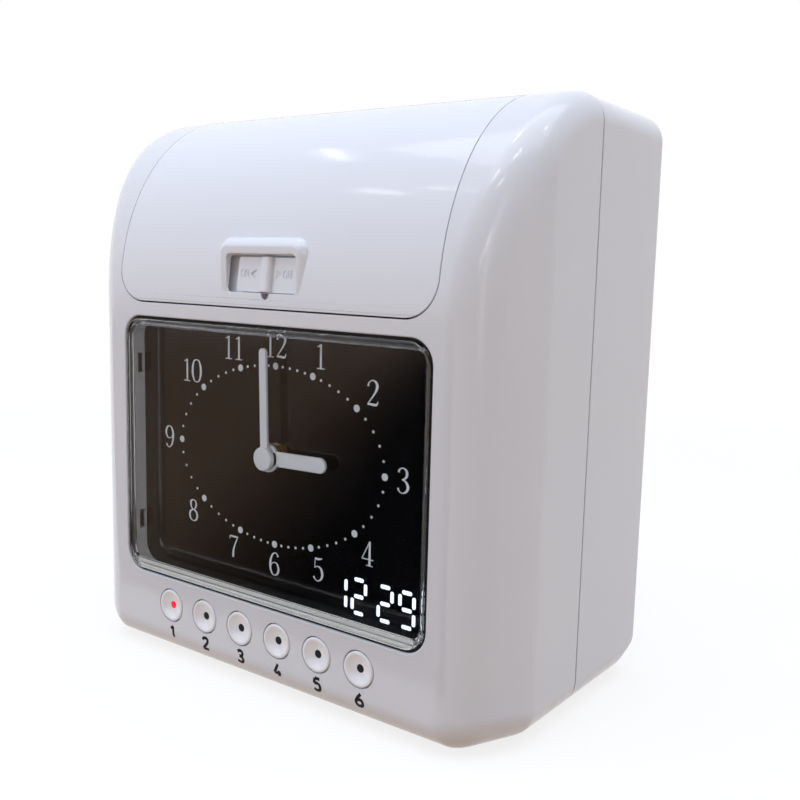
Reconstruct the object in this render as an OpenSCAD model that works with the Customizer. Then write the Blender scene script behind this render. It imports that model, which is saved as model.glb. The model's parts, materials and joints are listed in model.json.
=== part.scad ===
// Time clock: an employee time recorder with a dial, a card slot in its top and a printing head inside.
// Millimetres. Origin at the middle of the footprint on the table, +Z up, front towards -Y.

/* [Case] */
// Width of the case
case_w = 232; // [224:1:244]
// Depth of the case, front face to back
case_d = 127; // [123:1:132]
// Height of the case without its feet
case_h = 247; // [244:1:256]
// Wall thickness of the two shells
wall = 2.8; // [2.4:0.1:3.2]
// Depth of the roll from the front face to the top
roll_depth = 70; // [69:0.5:74]
// Start of that roll above the window lens
roll_over = 9; // [7:0.5:10]
// Front face to where the sides begin to slant in
corner_back = 31; // [28:0.5:34]
// Slant of the front corners, in degrees
corner_slant = 25; // [22:0.5:28]
// Radius between the slant and the front face
corner_r = 16; // [14:0.5:18]
// Radius of the bottom edges
bottom_r = 14; // [11:0.5:16]
// Radius of the top side edges
shoulder_r = 12; // [9:0.5:14]
// Front face to the seam between the shells
seam_back = 66; // [64:0.5:68]
// Step down from the front shell to the rear shell
seam_step = 0.5; // [0.4:0.1:1]
// Fall of the rear shell's top towards the back
rear_drop = 1.5; // [1:0.1:3]
// Radius of the rear edges
rear_top_r = 4.5; // [4:0.5:8]
// Rise of the bottom at the back
rear_lift = 3; // [2:0.5:6]
// Height of the rubber feet
foot_h = 2; // [1:0.5:4]
// Radius of the rubber feet
foot_r = 7; // [5:0.5:9]
// Radius of the screw bosses
boss_r = 4.5; // [4:0.1:5.5]
// Radius of the case screws
screw_r = 1.5; // [1.25:0.05:1.75]

/* [Lid] */
// Side of the case to the lid
lid_side = 28.2; // [27:0.2:30]
// Lower edge of the lid above the window lens
lid_over = 8; // [7:0.5:9]
// Radius of the lid's lower corners
lid_corner_r = 15; // [10:0.5:18]
// Thickness of the lid
lid_t = 2.5; // [2:0.1:2.8]
// Gap round the lid
lid_gap = 0.35; // [0.3:0.05:0.6]
// Reach of the ledge behind the lid's lower edge
ledge_w = 2.6; // [2.2:0.1:2.7]
// Thickness of that ledge
ledge_t = 1.6; // [1.2:0.1:2]
// Radius of the hinge barrel on the lid
barrel_r = 6; // [5.5:0.1:6.4]
// Place of the hinge on the roll, in degrees from its start
hinge_turn = 77; // [76.5:0.1:77.5]
// How far the lid opens, in degrees
lid_swing = 75; // [60:1:75]
// Radius of the hinge pins
hinge_pin_r = 1.5; // [1.2:0.1:2]
// Length of the hinge pins
hinge_pin_len = 13; // [11:0.5:14]

/* [Lock slide] */
// Width of the opening for the slide
slot_w = 38; // [36:0.5:40]
// Height of the opening
slot_h = 14.7; // [13.5:0.1:15.5]
// Middle of the opening, right of the centre line
slot_x = 1; // [0:0.5:2]
// Lower edge of the opening above the lid's lower edge
slot_rise = 5.6; // [5.5:0.1:6.5]
// Travel of the slide
slide_travel = 7.4; // [6:0.1:8]
// Width of the finger rib
rib_w = 6.6; // [5:0.1:8]
// Height of the raised hood round the opening
hood_proud = 1.5; // [1:0.1:1.5]
// Width of the hood's side bands
hood_side = 4.6; // [3.5:0.1:6]
// Width of the hood's upper band
hood_top = 6.3; // [5:0.1:7]

/* [Window and dial] */
// Side of the case to the window lens
lens_side = 31.8; // [30:0.2:34]
// Height of the window lens
lens_h = 116; // [113:0.5:118]
// Lower edge of the lens above the case bottom
lens_low = 37; // [36:0.5:38.5]
// Corner radius of the lens
lens_r = 9; // [6:0.5:12]
// How far the lens stands out of the case
lens_proud = 0.8; // [0.4:0.1:1.2]
// Thickness of the lens front
lens_t = 2.5; // [2:0.1:3]
// Width of the rim and of the flange behind it
lens_rim = 3; // [2:0.1:3.5]
// Front face to the front of the dial
dial_back = 11.6; // [10.8:0.1:12.6]
// Thickness of the dial plate
dial_t = 1.5; // [1:0.1:2]
// Wall of the frame round the dial
frame_t = 2; // [1.5:0.1:2.5]
// Length of the minute hand
minute_len = 46; // [40:0.5:50]
// Length of the hour hand
hour_len = 32; // [26:0.5:36]
// Width of the minute hand
minute_w = 4; // [3:0.1:5]
// Width of the hour hand
hour_w = 6.3; // [4:0.1:7]
// Radius of the hour hand's hub
hub_r = 6; // [5:0.1:7]
// Radius of the minute hand's hub
cap_r = 5; // [4.5:0.1:6.5]
// Side of the clock movement
movement_w = 56; // [52:1:58]
// Depth of the clock movement
movement_t = 16; // [15:0.5:18]

/* [Buttons] */
// Spacing of the buttons
button_pitch = 22; // [20.5:0.5:24]
// Diameter of a button
button_d = 14.7; // [13:0.1:16]
// Button row above the case bottom
button_rise = 23.3; // [22.5:0.1:23.5]
// How far a button stands out of the case
button_proud = 1.5; // [1.5:0.1:2]
// Travel of a button
button_travel = 1.5; // [1:0.1:1.5]
// Diameter of the lamp in each button
lamp_d = 3; // [2.5:0.1:3.5]

/* [Card path] */
// Width between the side rails of the card path
card_w = 89; // [87:0.5:92]
// Depth of the card path
card_gap = 5; // [4.8:0.1:5.4]
// Thickness of the card guides
guide_t = 2; // [1.6:0.1:2.4]
// Seam to the middle of the card path
card_behind = 8.75; // [8.5:0.05:9.2]
// Card stop below the case top
card_drop = 186; // [182:1:190]
// Feed rollers above the card stop
feed_up = 58; // [54:1:62]
// Radius of the feed rollers
feed_r = 7; // [6:0.1:7.5]
// Radius of the pinch rollers
pinch_r = 5; // [4:0.1:5.2]
// Gap between the feed and pinch rollers
nip = 0.4; // [0.3:0.05:0.6]

/* [Printer] */
// Print line below the case top
print_drop = 43; // [42:0.5:44]
// Travel of the print head to each side
head_travel = 26; // [20:0.5:28]
// Radius of the guide rail
rail_r = 3; // [2.5:0.1:3.5]
// Radius of the lead screw
lead_r = 2.5; // [2:0.1:3]
// Thickness of the chassis sheet
sheet_t = 1.5; // [1:0.1:2]
// Distance between the chassis cheeks
cheek_gap = 132; // [128:1:136]
// Module of the motor gears
motor_mod = 0.6; // [0.55:0.01:0.62]
// Radius of the two motors
motor_r = 10; // [9:0.5:10.5]

/* [Hidden] */
$fn = 48;

// Clearances: running fits, pressed or glued seats, cuts that run past a face
run = 0.06;
seat = 0.02;
past = 1;

// Planes of the case
front_y = button_proud - (case_d + button_proud) / 2;
back_y = front_y + case_d;
seam_y = front_y + seam_back;
case_z0 = foot_h;
case_top = foot_h + case_h;
rear_top = case_top - seam_step;
inner_y = front_y + wall;
inner_back = back_y - wall;
floor_z = case_z0 + wall;
lift_run = 25;
bend_steps = 8;
lens_w = case_w - 2 * lens_side;
lens_z = case_z0 + lens_low + lens_h / 2;
lens_top = lens_z + lens_h / 2;
lid_w = case_w - 2 * lid_side;
lid_z = lens_top + lid_over;

// Roll of the front: an ellipse that ends at the seam, and a point on it sunk by t
roll_steps = 24;
roll_end = acos(1 - seam_back / roll_depth);
roll_z = lens_top + roll_over;
roll_h = (case_top - roll_z) / sin(roll_end);
function roll_out(a) = let (v = [-cos(a) / roll_depth, sin(a) / roll_h]) v / norm(v);
function roll_at(a, t) = [front_y + roll_depth * (1 - cos(a)), roll_z + roll_h * sin(a)] - t * roll_out(a);

// Lid, its hinge and its slide
pocket_in = lid_t + 1.2;
ledge_in = pocket_in + ledge_t;
ledge_half = lid_w / 2 - lid_corner_r;
lid_end = roll_at(hinge_turn, 0)[0];
hinge_y = roll_at(hinge_turn, barrel_r)[0];
hinge_z = roll_at(hinge_turn, barrel_r)[1];
hinge_slope = atan2(roll_out(hinge_turn)[1], roll_out(hinge_turn)[0]);
lug_r = barrel_r - 1.6;
lug_len = hinge_pin_len / 2 - 1;
slot_z = lid_z + slot_rise + slot_h / 2;
slot_turn = asin((slot_z - roll_z) / roll_h);
slot_tilt = atan2(roll_out(slot_turn)[1], -roll_out(slot_turn)[0]);
slide_gap = 0.2;
hood_low = 2.2;
slide_w = slot_w - slide_travel - 2 * slide_gap;
slide_x = slot_x + slide_travel / 2;
slide_recess = 1;
flange_over = 4;
flange_drop = 1.7;
flange_t = 1.5;
flange_in = lid_t + 0.6;
hook_w = 6;
hook_x = slide_x - slide_w / 2 - flange_over + hook_w / 2 + 1;
hook_in = ledge_in + 1.2;
hook_drop = slot_z - lid_z - 0.8;

// Window, dial and clock work
lens_gap = 0.15;
lens_flange = 2;
lens_flange_t = 1.5;
frame_y = inner_y + lens_flange_t;
dial_y = front_y + dial_back;
dial_rear = dial_y + dial_t;
dial_rise = 3.5;
dial_z = lens_z + dial_rise;
ear_x = lens_w / 2 + 9.8;
ear_z = lens_h / 2 - 10;
ear_t = 2;
nut_t = 3.1;
stem_r = 4;
pipe_r = 2.8;
arbor_r = 1.5;
hand_t = 1.2;
hour_y = dial_y - nut_t - 0.7;
minute_y = hour_y - hand_t - 0.8;
cannon_teeth = 12;
motion_teeth = 36;
motion_pinion_teeth = 10;
hour_teeth = 40;
cannon_mod = 0.5;
motion_axis = cannon_mod * (cannon_teeth + motion_teeth) / 2;
hour_mod = 2 * motion_axis / (motion_pinion_teeth + hour_teeth);
wheel_t = 2;
skin = 1.6;
hour_wheel_y = dial_rear + skin + 0.6;
cannon_y = hour_wheel_y + wheel_t + 0.8;
movement_back = dial_rear + movement_t;
post_r = 1;

// Buttons and their board
button_z = case_z0 + button_rise;
button_gap = 0.25;
button_flange = 1.6;
button_flange_t = 1.7;
button_flange_y = inner_y + 0.1;
board_t = 1.6;
switch_t = 4;
switch_w = 6;
switch_drop = 6.5;
stem_len = 3.6;
plunger_t = 0.4;
stem_end = button_flange_y + button_flange_t + stem_len;
board_y = stem_end + button_travel + 0.1 + plunger_t + switch_t;
board_w = 5 * button_pitch + 42;
board_h = 23;
board_post_x = board_w / 2 - 6;

// Case screws and feet
screw_x = case_w / 2 - 16;
screw_low = case_z0 + bottom_r + 6;
screw_high = case_top - 19;
screw_seat = seam_y + 8;
screw_grip = 14;
head_r = screw_r * 1.9;
head_t = 2.2;
foot_x = case_w / 2 - 31;
foot_front = front_y + corner_back + 2;
foot_back = back_y - lift_run - foot_r - 2;

// Card path
card_y = seam_y + card_behind;
gap_front = card_y - card_gap / 2;
gap_back = card_y + card_gap / 2;
guide_front = gap_front - guide_t;
guide_back = gap_back + guide_t;
guide_w = card_w + 11;
stop_z = case_top - card_drop;
bezel_h = 11;
bezel_top = rear_top + 0.8;
guide_top = bezel_top - bezel_h;
bezel_w = card_w + 13;
bezel_lip = 2.2;
feed_z = stop_z + feed_up;
feed_y = card_y + nip / 2 + feed_r;
pinch_y = card_y - nip / 2 - pinch_r;
roller_x = 25;
roller_w = 10;
window_w = roller_w + 3;
window_h = 2 * feed_r + 3;
feed_shaft_r = 2.5;
pinch_shaft_r = 1.5;
bearing_t = 3;
bearing_x = guide_w / 2 - 4;
pinch_bearing_x = roller_x + roller_w / 2 + 4;
stop_t = 4;
ear_drop = 9;
low_post_x = guide_w / 2 + 6;
low_post_z = stop_z + 13;

// Printer
print_z = case_top - print_drop;
cheek_x = cheek_gap / 2;
deck_z = print_z - 26;
deck_front = card_y - 42;
cheek_top = print_z + 8;
rail_y = card_y - 18;
rail_z = print_z - 17;
lead_y = card_y - 26;
lead_z = print_z - 1;
lead_pitch = 8;
screw_teeth = 30;
pinion_teeth = 12;
motor_tilt = 24;
motor_axis = motor_mod * (screw_teeth + pinion_teeth) / 2;
motor_y = lead_y - motor_axis * cos(motor_tilt);
motor_z = lead_z - motor_axis * sin(motor_tilt);
motor_len = 22;
shaft_r = 1;
nose_r = 2.5;
spindle_in = 6;
gear_t = 3;
gear_x = cheek_x + sheet_t + 1;
carriage_w = 24;
head_w = 16;
head_front = guide_front - 3;
band_y = head_front + 0.3;
band_t = 0.2;
band_h = 12;
arm_x = cheek_x - 16;
arm_w = 5;
cassette_z = cheek_top;
cassette_h = 14;
cassette_front = card_y - 40;
cassette_back = guide_front - 1;
knob_x = 40;
knob_y = cassette_front + 8.5;
knob_r = 6.5;
knob_h = 5;
knob_shaft_r = 2;
high_post_x = cheek_x - 7;
high_post_z = deck_z + 8;
feed_teeth = 40;
feed_axis = motor_mod * (feed_teeth + pinion_teeth) / 2;
feed_motor_y = feed_y + feed_axis;
bracket_x = bearing_x + bearing_t / 2 + 8;
feed_gear_x = bracket_x + sheet_t + 0.8;
bracket_h = 28;

// Electrics in the rear shell
main_y = inner_back - 8;
main_w = 100;
main_x = -28;
main_h = 80;
main_low = deck_z - main_h - 4;
rise_y = back_y - lift_run;
standoff_r = 3;
standoff_in = 5;
inlet_x = -40;
inlet_z = case_z0 + 30;
inlet_w = 21;
inlet_h = 14;
inlet_len = 16;
inlet_pin_gap = 8.6;
inlet_pin_r = 1.2;
inlet_well = 10;
key_x = 80;
key_z = case_top - 45;
key_r = 4.5;
key_slot_r = 2.25;
key_slot_len = 9;
vent_n = 6;
vent_w = 3;
vent_h = 28;
vent_pitch = 7;
vent_x = 74;
vent_low = stop_z - 20;

// Rounded rectangle in the plane, centred
module rounded(w, h, r) {
  square([w - 2 * r, h], center = true);
  square([w, h - 2 * r], center = true);
  for (sx = [-1, 1], sy = [-1, 1])
    translate([sx * (w / 2 - r), sy * (h / 2 - r)])
      circle(r = r);
}

// Flat shape drawn in X and Z, given a depth from y0 to y1
module deep(y0, y1) {
  translate([0, y1, 0])
    rotate([90, 0, 0])
      linear_extrude(y1 - y0)
        children();
}

// Round bar along Y
module bar_y(r, y0, y1, x, z) {
  translate([x, y1, z])
    rotate([90, 0, 0])
      cylinder(r = r, h = y1 - y0);
}

// Round bar along X
module bar_x(r, x0, x1, y, z) {
  translate([x0, y, z])
    rotate([0, 90, 0])
      cylinder(r = r, h = x1 - x0);
}

// Block between two corners
module block(x0, x1, y0, y1, z0, z1) {
  translate([x0, y0, z0])
    cube([x1 - x0, y1 - y0, z1 - z0]);
}

// A piece and its mirror image across the middle plane
module both_sides() {
  for (s = [0, 1])
    mirror([s, 0, 0])
      children();
}

// Toothed wheel outline, teeth centred on phase
tooth_share = 0.36;
tooth_up = 0.7;
tooth_down = 1;
flank = 15;
function tooth_half(mod, rise) = tooth_share * PI * mod / 2 - rise * mod * tan(flank);
function on_circle(r, a) = [r * cos(a), r * sin(a)];
function tooth(mod, teeth, a) =
  let (root = mod * (teeth / 2 - tooth_down), tip = mod * (teeth / 2 + tooth_up))
  let (root_a = asin(tooth_half(mod, -tooth_down) / root), tip_a = asin(tooth_half(mod, tooth_up) / tip))
  [on_circle(root, a - root_a), on_circle(tip, a - tip_a),
    on_circle(tip, a + tip_a), on_circle(root, a + root_a)];
module wheel(mod, teeth, phase, bore) {
  difference() {
    polygon([for (i = [0 : teeth - 1]) each tooth(mod, teeth, phase + i * 360 / teeth)]);
    circle(r = bore);
  }
}

// Wheel across X, and wheel across Y
module wheel_x(x0, t, y, z) {
  translate([x0, y, z])
    rotate([0, 90, 0])
      linear_extrude(t)
        children();
}
module wheel_y(y0, t, x, z) {
  translate([x, y0 + t, z])
    rotate([90, 0, 0])
      linear_extrude(t)
        children();
}

// Points on an arc, and a half outline closed by its mirror image
function arc(c, r, a0, a1) =
  [for (i = [0 : bend_steps]) c + on_circle(r, a0 + (a1 - a0) * i / bend_steps)];
function mirrored(p) = concat(p, [for (i = [len(p) - 1 : -1 : 0]) [-p[i][0], p[i][1]]]);

// Case outlines shrunk by t: from the front, and the two shells from the side and from above
function front_outline(t, top) = mirrored(concat(
  arc([case_w / 2 - bottom_r, case_z0 + bottom_r], bottom_r - t, -90, 0),
  arc([case_w / 2 - shoulder_r, top - shoulder_r], shoulder_r - t, 0, 90)));
function front_side(t, over) = concat(
  arc([front_y + bottom_r, case_z0 + bottom_r], bottom_r - t, 270, 180),
  [for (i = [0 : roll_steps]) roll_at(i * roll_end / roll_steps, t)],
  over > 0 ? [[seam_y + over, roll_at(roll_end, t)[1]]] : [],
  [[seam_y + over, case_z0 + t]]);
function front_plan(t) =
  let (corner_x = case_w / 2 - (corner_back - corner_r) * tan(corner_slant) - corner_r / cos(corner_slant))
  mirrored(concat(
    arc([corner_x, front_y + corner_r], corner_r - t, -90, -corner_slant),
    [[case_w / 2 - t, front_y + corner_back + t * tan(corner_slant / 2)]],
    [[case_w / 2 - t, back_y]]));
function rear_side(t, over) = concat(
  [[seam_y - over, case_z0 + t], [back_y - lift_run, case_z0 + t], [back_y - t, case_z0 + rear_lift + t]],
  arc([back_y - rear_top_r, rear_top - rear_drop - rear_top_r], rear_top_r - t, 0, 90),
  [[seam_y - over, rear_top - t]]);
function rear_plan(t) = mirrored(concat(
  [[case_w / 2 - t, front_y]],
  arc([case_w / 2 - rear_top_r, back_y - rear_top_r], rear_top_r - t, 0, 90)));

// Flat shape drawn in Y and Z, given the whole width, and one drawn in X and Y, given the whole height
module wide() {
  translate([-case_w, 0, 0])
    rotate([90, 0, 90])
      linear_extrude(2 * case_w)
        children();
}
module tall() {
  translate([0, 0, -past])
    linear_extrude(case_top + 2 * past)
      children();
}

// Form of the front shell, shrunk by t, its seam face moved back by over
module front_form(t, over) {
  intersection() {
    wide()
      polygon(front_side(t, over));
    tall()
      polygon(front_plan(t));
    deep(front_y - past, back_y)
      polygon(front_outline(t, case_top + past));
  }
}

// Form of the rear shell, shrunk by t, its seam face moved forward by over
module rear_form(t, over) {
  intersection() {
    wide()
      polygon(rear_side(t, over));
    tall()
      polygon(rear_plan(t));
    deep(front_y, back_y + past)
      polygon(front_outline(t, rear_top + past));
  }
}

// Places what is drawn on a flat front onto the sloping lid, at the middle of the slide's opening
module on_lid() {
  at = roll_at(slot_turn, 0);
  translate([0, at[0], at[1]])
    rotate([-slot_tilt, 0, 0])
      children();
}

// Outline of the lid seen from the front, smaller by g, as a block back to y1
module lid_block(g, y1) {
  w = lid_w - 2 * g;
  r = lid_corner_r - g;
  deep(front_y - 5, y1) {
    translate([-w / 2, lid_z + lid_corner_r])
      square([w, case_h]);
    translate([r - w / 2, lid_z + g])
      square([w - 2 * r, case_h]);
    for (s = [-1, 1])
      translate([s * (w / 2 - r), lid_z + lid_corner_r])
        circle(r = r);
  }
}

// Outline of the lens in X and Z, larger by g all round
module lens_outline(g) {
  translate([0, lens_z])
    rounded(lens_w + 2 * g, lens_h + 2 * g, lens_r + g);
}

// Case screw places
module at_case_screws() {
  for (s = [-1, 1], z = [screw_low, screw_high])
    translate([s * screw_x, 0, z])
      children();
}

// Places of the four posts that carry the dial frame
module at_dial_ears() {
  for (s = [-1, 1], k = [-1, 1])
    translate([s * ear_x, 0, lens_z + k * ear_z])
      children();
}

module front_case() {
  frame_end = dial_rear - ear_t;
  color("gainsboro")
    difference() {
      union() {
        difference() {
          front_form(0, 0);
          front_form(wall, past);
          lid_block(0, lid_end);
          deep(front_y - past, inner_y + past)
            lens_outline(lens_gap);
          for (i = [0 : 5])
            bar_y(button_d / 2 + button_gap, front_y - past, inner_y + past,
              (i - 2.5) * button_pitch, button_z);
        }
        intersection() {
          front_form(wall / 2, 0);
          at_case_screws()
            bar_y(boss_r, front_y, seam_y, 0, 0);
        }
        block(-ledge_half, ledge_half, inner_y - past, front_y + ledge_in, lid_z - ledge_w, lid_z - 0.01);
        block(-ledge_half, ledge_half, front_y + pocket_in, front_y + ledge_in, lid_z - ledge_w,
          lid_z + ledge_w);
        at_dial_ears()
          bar_y(3.5, inner_y - past, frame_end, 0, 0);
        both_sides() {
          bar_y(3, inner_y - past, board_y, board_post_x, button_z);
          bar_x(lug_r, lid_w / 2 + lid_gap, lid_w / 2 + lid_gap + lug_len, hinge_y, hinge_z);
        }
      }
      bar_x(barrel_r + lid_gap, -lid_w / 2, lid_w / 2, hinge_y, hinge_z);
      translate([0, hinge_y, hinge_z])
        rotate([hinge_slope - lid_swing, 0, 0])
          block(-lid_w / 2, lid_w / 2, 0, barrel_r + lid_gap, 0, 2 * barrel_r);
      bar_x(hinge_pin_r + seat, -case_w / 2 + wall, case_w / 2 - wall, hinge_y, hinge_z);
      block(hook_x - hook_w / 2 - 0.6, hook_x + hook_w / 2 + 0.6, front_y, front_y + ledge_in + past, lid_z,
        lid_z + ledge_w + past);
      at_case_screws()
        bar_y(screw_r + seat, seam_y - screw_grip - 2, seam_y + past, 0, 0);
      at_dial_ears()
        bar_y(screw_r + seat, frame_end - 7, frame_end + past, 0, 0);
    }
}

module rear_case() {
  color("gainsboro")
    difference() {
      union() {
        difference() {
          rear_form(0, 0);
          rear_form(wall, past);
        }
        at_case_screws()
          bar_y(boss_r, seam_y, inner_back + past, 0, 0);
        for (s = [-1, 1]) {
          bar_y(4, guide_front, inner_back + past, s * high_post_x, high_post_z);
          bar_y(4, guide_back, inner_back + past, s * low_post_x, low_post_z);
          for (z = [main_low + standoff_in, main_low + main_h - standoff_in])
            bar_y(standoff_r, main_y + board_t, inner_back + past,
              main_x + s * (main_w / 2 - standoff_in), z);
        }
      }
      block(-bezel_w / 2 - 0.1, bezel_w / 2 + 0.1, gap_front - bezel_lip - 0.1, gap_back + bezel_lip + 0.1,
        guide_top, case_top + past);
      at_case_screws() {
        bar_y(screw_r + 0.2, seam_y - past, screw_seat + past, 0, 0);
        bar_y(head_r + 0.4, screw_seat, back_y + past, 0, 0);
      }
      for (s = [-1, 1]) {
        bar_y(screw_r + seat, guide_front - past, guide_front + 9, s * high_post_x, high_post_z);
        bar_y(screw_r + seat, guide_back - past, guide_back + 9, s * low_post_x, low_post_z);
        bar_y(key_r, inner_back - past, back_y + past, s * key_x, key_z);
        block(s * key_x - key_slot_r, s * key_x + key_slot_r, inner_back - past, back_y + past,
          key_z, key_z + key_slot_len);
      }
      block(inlet_x - inlet_w / 2 - 0.1, inlet_x + inlet_w / 2 + 0.1, inner_back - past, back_y + past,
        inlet_z - inlet_h / 2 - 0.1, inlet_z + inlet_h / 2 + 0.1);
      for (s = [-1, 1], i = [0 : vent_n - 1])
        translate([s * vent_x + (i - (vent_n - 1) / 2) * vent_pitch, 0, vent_low])
          block(-vent_w / 2, vent_w / 2, inner_back - past, back_y + past, 0, vent_h);
    }
}

module top_lid() {
  hood_w = slot_w + 2 * hood_side;
  hood_h = slot_h + hood_top + hood_low;
  color("white")
    difference() {
      union() {
        intersection() {
          difference() {
            front_form(0, 0);
            front_form(lid_t, past);
          }
          lid_block(lid_gap, lid_end);
        }
        bar_x(barrel_r, -lid_w / 2 + lid_gap, lid_w / 2 - lid_gap, hinge_y, hinge_z);
        on_lid()
          deep(-hood_proud, lid_t / 2)
            translate([slot_x, (hood_top - hood_low) / 2])
              rounded(hood_w, hood_h, 6);
      }
      on_lid() {
        deep(-hood_proud - past, lid_t + past)
          translate([slot_x, 0])
            rounded(slot_w, slot_h, 2);
        block(slide_x - 1.5, slide_x + 1.5, -hood_proud - past, lid_t / 2, -slot_h / 2 - 2, 0);
      }
      both_sides()
        bar_x(hinge_pin_r + run, lid_w / 2 - hinge_pin_len, lid_w / 2 + past, hinge_y, hinge_z);
    }
}

module lid_hinge_pins() {
  pin_x = lid_w / 2 + lid_gap + lug_len;
  color("silver")
    both_sides()
      bar_x(hinge_pin_r, pin_x - hinge_pin_len, pin_x, hinge_y, hinge_z);
}

module lock_slide() {
  face_h = slot_h - 2 * slide_gap;
  flange_half = slot_h / 2 + flange_drop;
  color("gainsboro")
    on_lid() {
      deep(slide_recess, flange_in + 0.01)
        translate([slide_x, 0])
          rounded(slide_w, face_h, 1.5);
      deep(0.5 - hood_proud, slide_recess + 0.01)
        translate([slide_x, 0])
          rounded(rib_w, face_h, 1);
      block(slide_x - slide_w / 2 - flange_over, slide_x + slide_w / 2 + flange_over, flange_in,
        flange_in + flange_t, -flange_half, flange_half);
      block(hook_x - hook_w / 2, hook_x + hook_w / 2, flange_in, hook_in + flange_t, -flange_half,
        -slot_h / 2);
      block(hook_x - hook_w / 2, hook_x + hook_w / 2, hook_in, hook_in + flange_t, -hook_drop,
        -slot_h / 2);
    }
}

module window_lens() {
  color("lightcyan", 0.3)
    difference() {
      union() {
        deep(front_y - lens_proud, inner_y + 0.01)
          lens_outline(0);
        deep(inner_y, inner_y + lens_flange_t)
          lens_outline(lens_flange);
      }
      deep(front_y - lens_proud + lens_t, inner_y + lens_flange_t + past)
        lens_outline(-lens_rim);
    }
}

module dial_frame() {
  notch_low = lens_z - lens_h / 2 + 20;
  notch_high = lens_top - 21.4;
  color("silver")
    difference() {
      union() {
        difference() {
          deep(frame_y, dial_rear)
            lens_outline(lens_flange);
          deep(frame_y - past, dial_rear + past)
            lens_outline(lens_flange - frame_t);
        }
        at_dial_ears()
          block(-5, 5, dial_rear - ear_t, dial_rear, -5, 5);
        both_sides()
          for (k = [-1, 1])
            block(lens_w / 2 + lens_flange - 1, ear_x, dial_rear - ear_t, dial_rear, lens_z + k * ear_z - 5,
              lens_z + k * ear_z + 5);
      }
      at_dial_ears()
        bar_y(screw_r + 0.1, dial_rear - ear_t - past, dial_rear + past, 0, 0);
      for (z = [notch_low, notch_high])
        block(-lens_w, -lens_w / 4, frame_y + 3.5, dial_y, z - 4.6, z + 4.6);
    }
}

module dial_screws() {
  color("silver")
    at_dial_ears() {
      bar_y(screw_r, dial_rear - ear_t - 6, dial_rear + 0.5, 0, 0);
      bar_y(head_r, dial_rear, dial_rear + head_t, 0, 0);
    }
}

module dial_plate() {
  color("black")
    difference() {
      deep(dial_y, dial_rear)
        lens_outline(lens_flange - frame_t - 0.1);
      bar_y(stem_r + 0.1, dial_y - past, dial_rear + past, 0, dial_z);
    }
}

// Flat hand with a hub of radius r and a round tip, pointing along +X before it is turned
module hand(len, w, r, bore, y0) {
  wheel_y(y0, hand_t, 0, dial_z)
    difference() {
      union() {
        circle(r = r);
        translate([0, -w / 2])
          square([len - w / 2, w]);
        translate([len - w / 2, 0])
          circle(r = w / 2);
      }
      circle(r = bore);
    }
}

module hour_hand() {
  color("whitesmoke")
    hand(hour_len, hour_w, hub_r, pipe_r + seat, hour_y - hand_t);
}

module minute_hand() {
  color("whitesmoke")
    difference() {
      union() {
        translate([0, 0, dial_z])
          rotate([0, -90, 0])
            translate([0, 0, -dial_z])
              hand(minute_len, minute_w, cap_r, 0.1, minute_y - hand_t);
        bar_y(cap_r, minute_y - hand_t - 1, minute_y, 0, dial_z);
      }
      bar_y(arbor_r + seat, minute_y - hand_t, minute_y + past, 0, dial_z);
    }
}

// Box of the movement: front half carries the threaded stem
module movement_case() {
  half = movement_w / 2;
  color("dimgray")
    difference() {
      union() {
        block(-half, half, dial_rear, movement_back - skin, dial_z - half, dial_z + half);
        bar_y(stem_r, dial_y - nut_t - 0.3, dial_rear + past, 0, dial_z);
      }
      block(skin - half, half - skin, dial_rear + skin, movement_back, dial_z - half + skin,
        dial_z + half - skin);
      bar_y(pipe_r + run, dial_y - nut_t - past, dial_rear + skin + past, 0, dial_z);
    }
}

module movement_cover() {
  half = movement_w / 2;
  color("dimgray")
    difference() {
      union() {
        block(-half, half, movement_back - skin, movement_back, dial_z - half, dial_z + half);
        bar_y(post_r, hour_wheel_y - 0.4, movement_back - skin / 2, 0, dial_z - motion_axis);
        bar_y(4, cannon_y + wheel_t + 0.5, movement_back - skin / 2, 0, dial_z);
      }
      bar_y(arbor_r + run, cannon_y, movement_back - skin, 0, dial_z);
    }
}

module movement_nut() {
  color("goldenrod")
    wheel_y(dial_y - nut_t, nut_t, 0, dial_z)
      difference() {
        circle(r = stem_r + 2, $fn = 6);
        circle(r = stem_r + seat);
      }
}

module minute_arbor() {
  color("silver") {
    bar_y(arbor_r, minute_y - hand_t, movement_back - skin - 0.3, 0, dial_z);
    wheel_y(cannon_y, wheel_t, 0, dial_z)
      wheel(cannon_mod, cannon_teeth, -90, arbor_r / 2);
  }
}

module motion_wheel() {
  color("ivory")
    difference() {
      union() {
        wheel_y(cannon_y, wheel_t, 0, dial_z - motion_axis)
          wheel(cannon_mod, motion_teeth, 90 + 180 / motion_teeth, post_r + run);
        wheel_y(hour_wheel_y, cannon_y - hour_wheel_y + 0.01, 0, dial_z - motion_axis)
          wheel(hour_mod, motion_pinion_teeth, 90, post_r + run);
      }
      bar_y(post_r + run, hour_wheel_y - past, cannon_y + wheel_t + past, 0, dial_z - motion_axis);
    }
}

module hour_wheel() {
  color("ivory")
    difference() {
      union() {
        wheel_y(hour_wheel_y, wheel_t, 0, dial_z)
          wheel(hour_mod, hour_teeth, -90 + 180 / hour_teeth, arbor_r + run);
        bar_y(pipe_r, hour_y - hand_t, hour_wheel_y + 0.01, 0, dial_z);
      }
      bar_y(arbor_r + run, hour_y - hand_t - past, hour_wheel_y + wheel_t + past, 0, dial_z);
    }
}

module movement_coil() {
  coil_z = dial_z + movement_w / 2 - skin - 5;
  color("peru") {
    bar_x(4.5, -12, 12, dial_rear + skin + 4.6, coil_z);
    for (s = [-1, 1])
      block(s * 13 - 1.2, s * 13 + 1.2, dial_rear + skin, dial_rear + skin + 9.4, coil_z - 4.8, coil_z + 4.8);
  }
}

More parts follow.
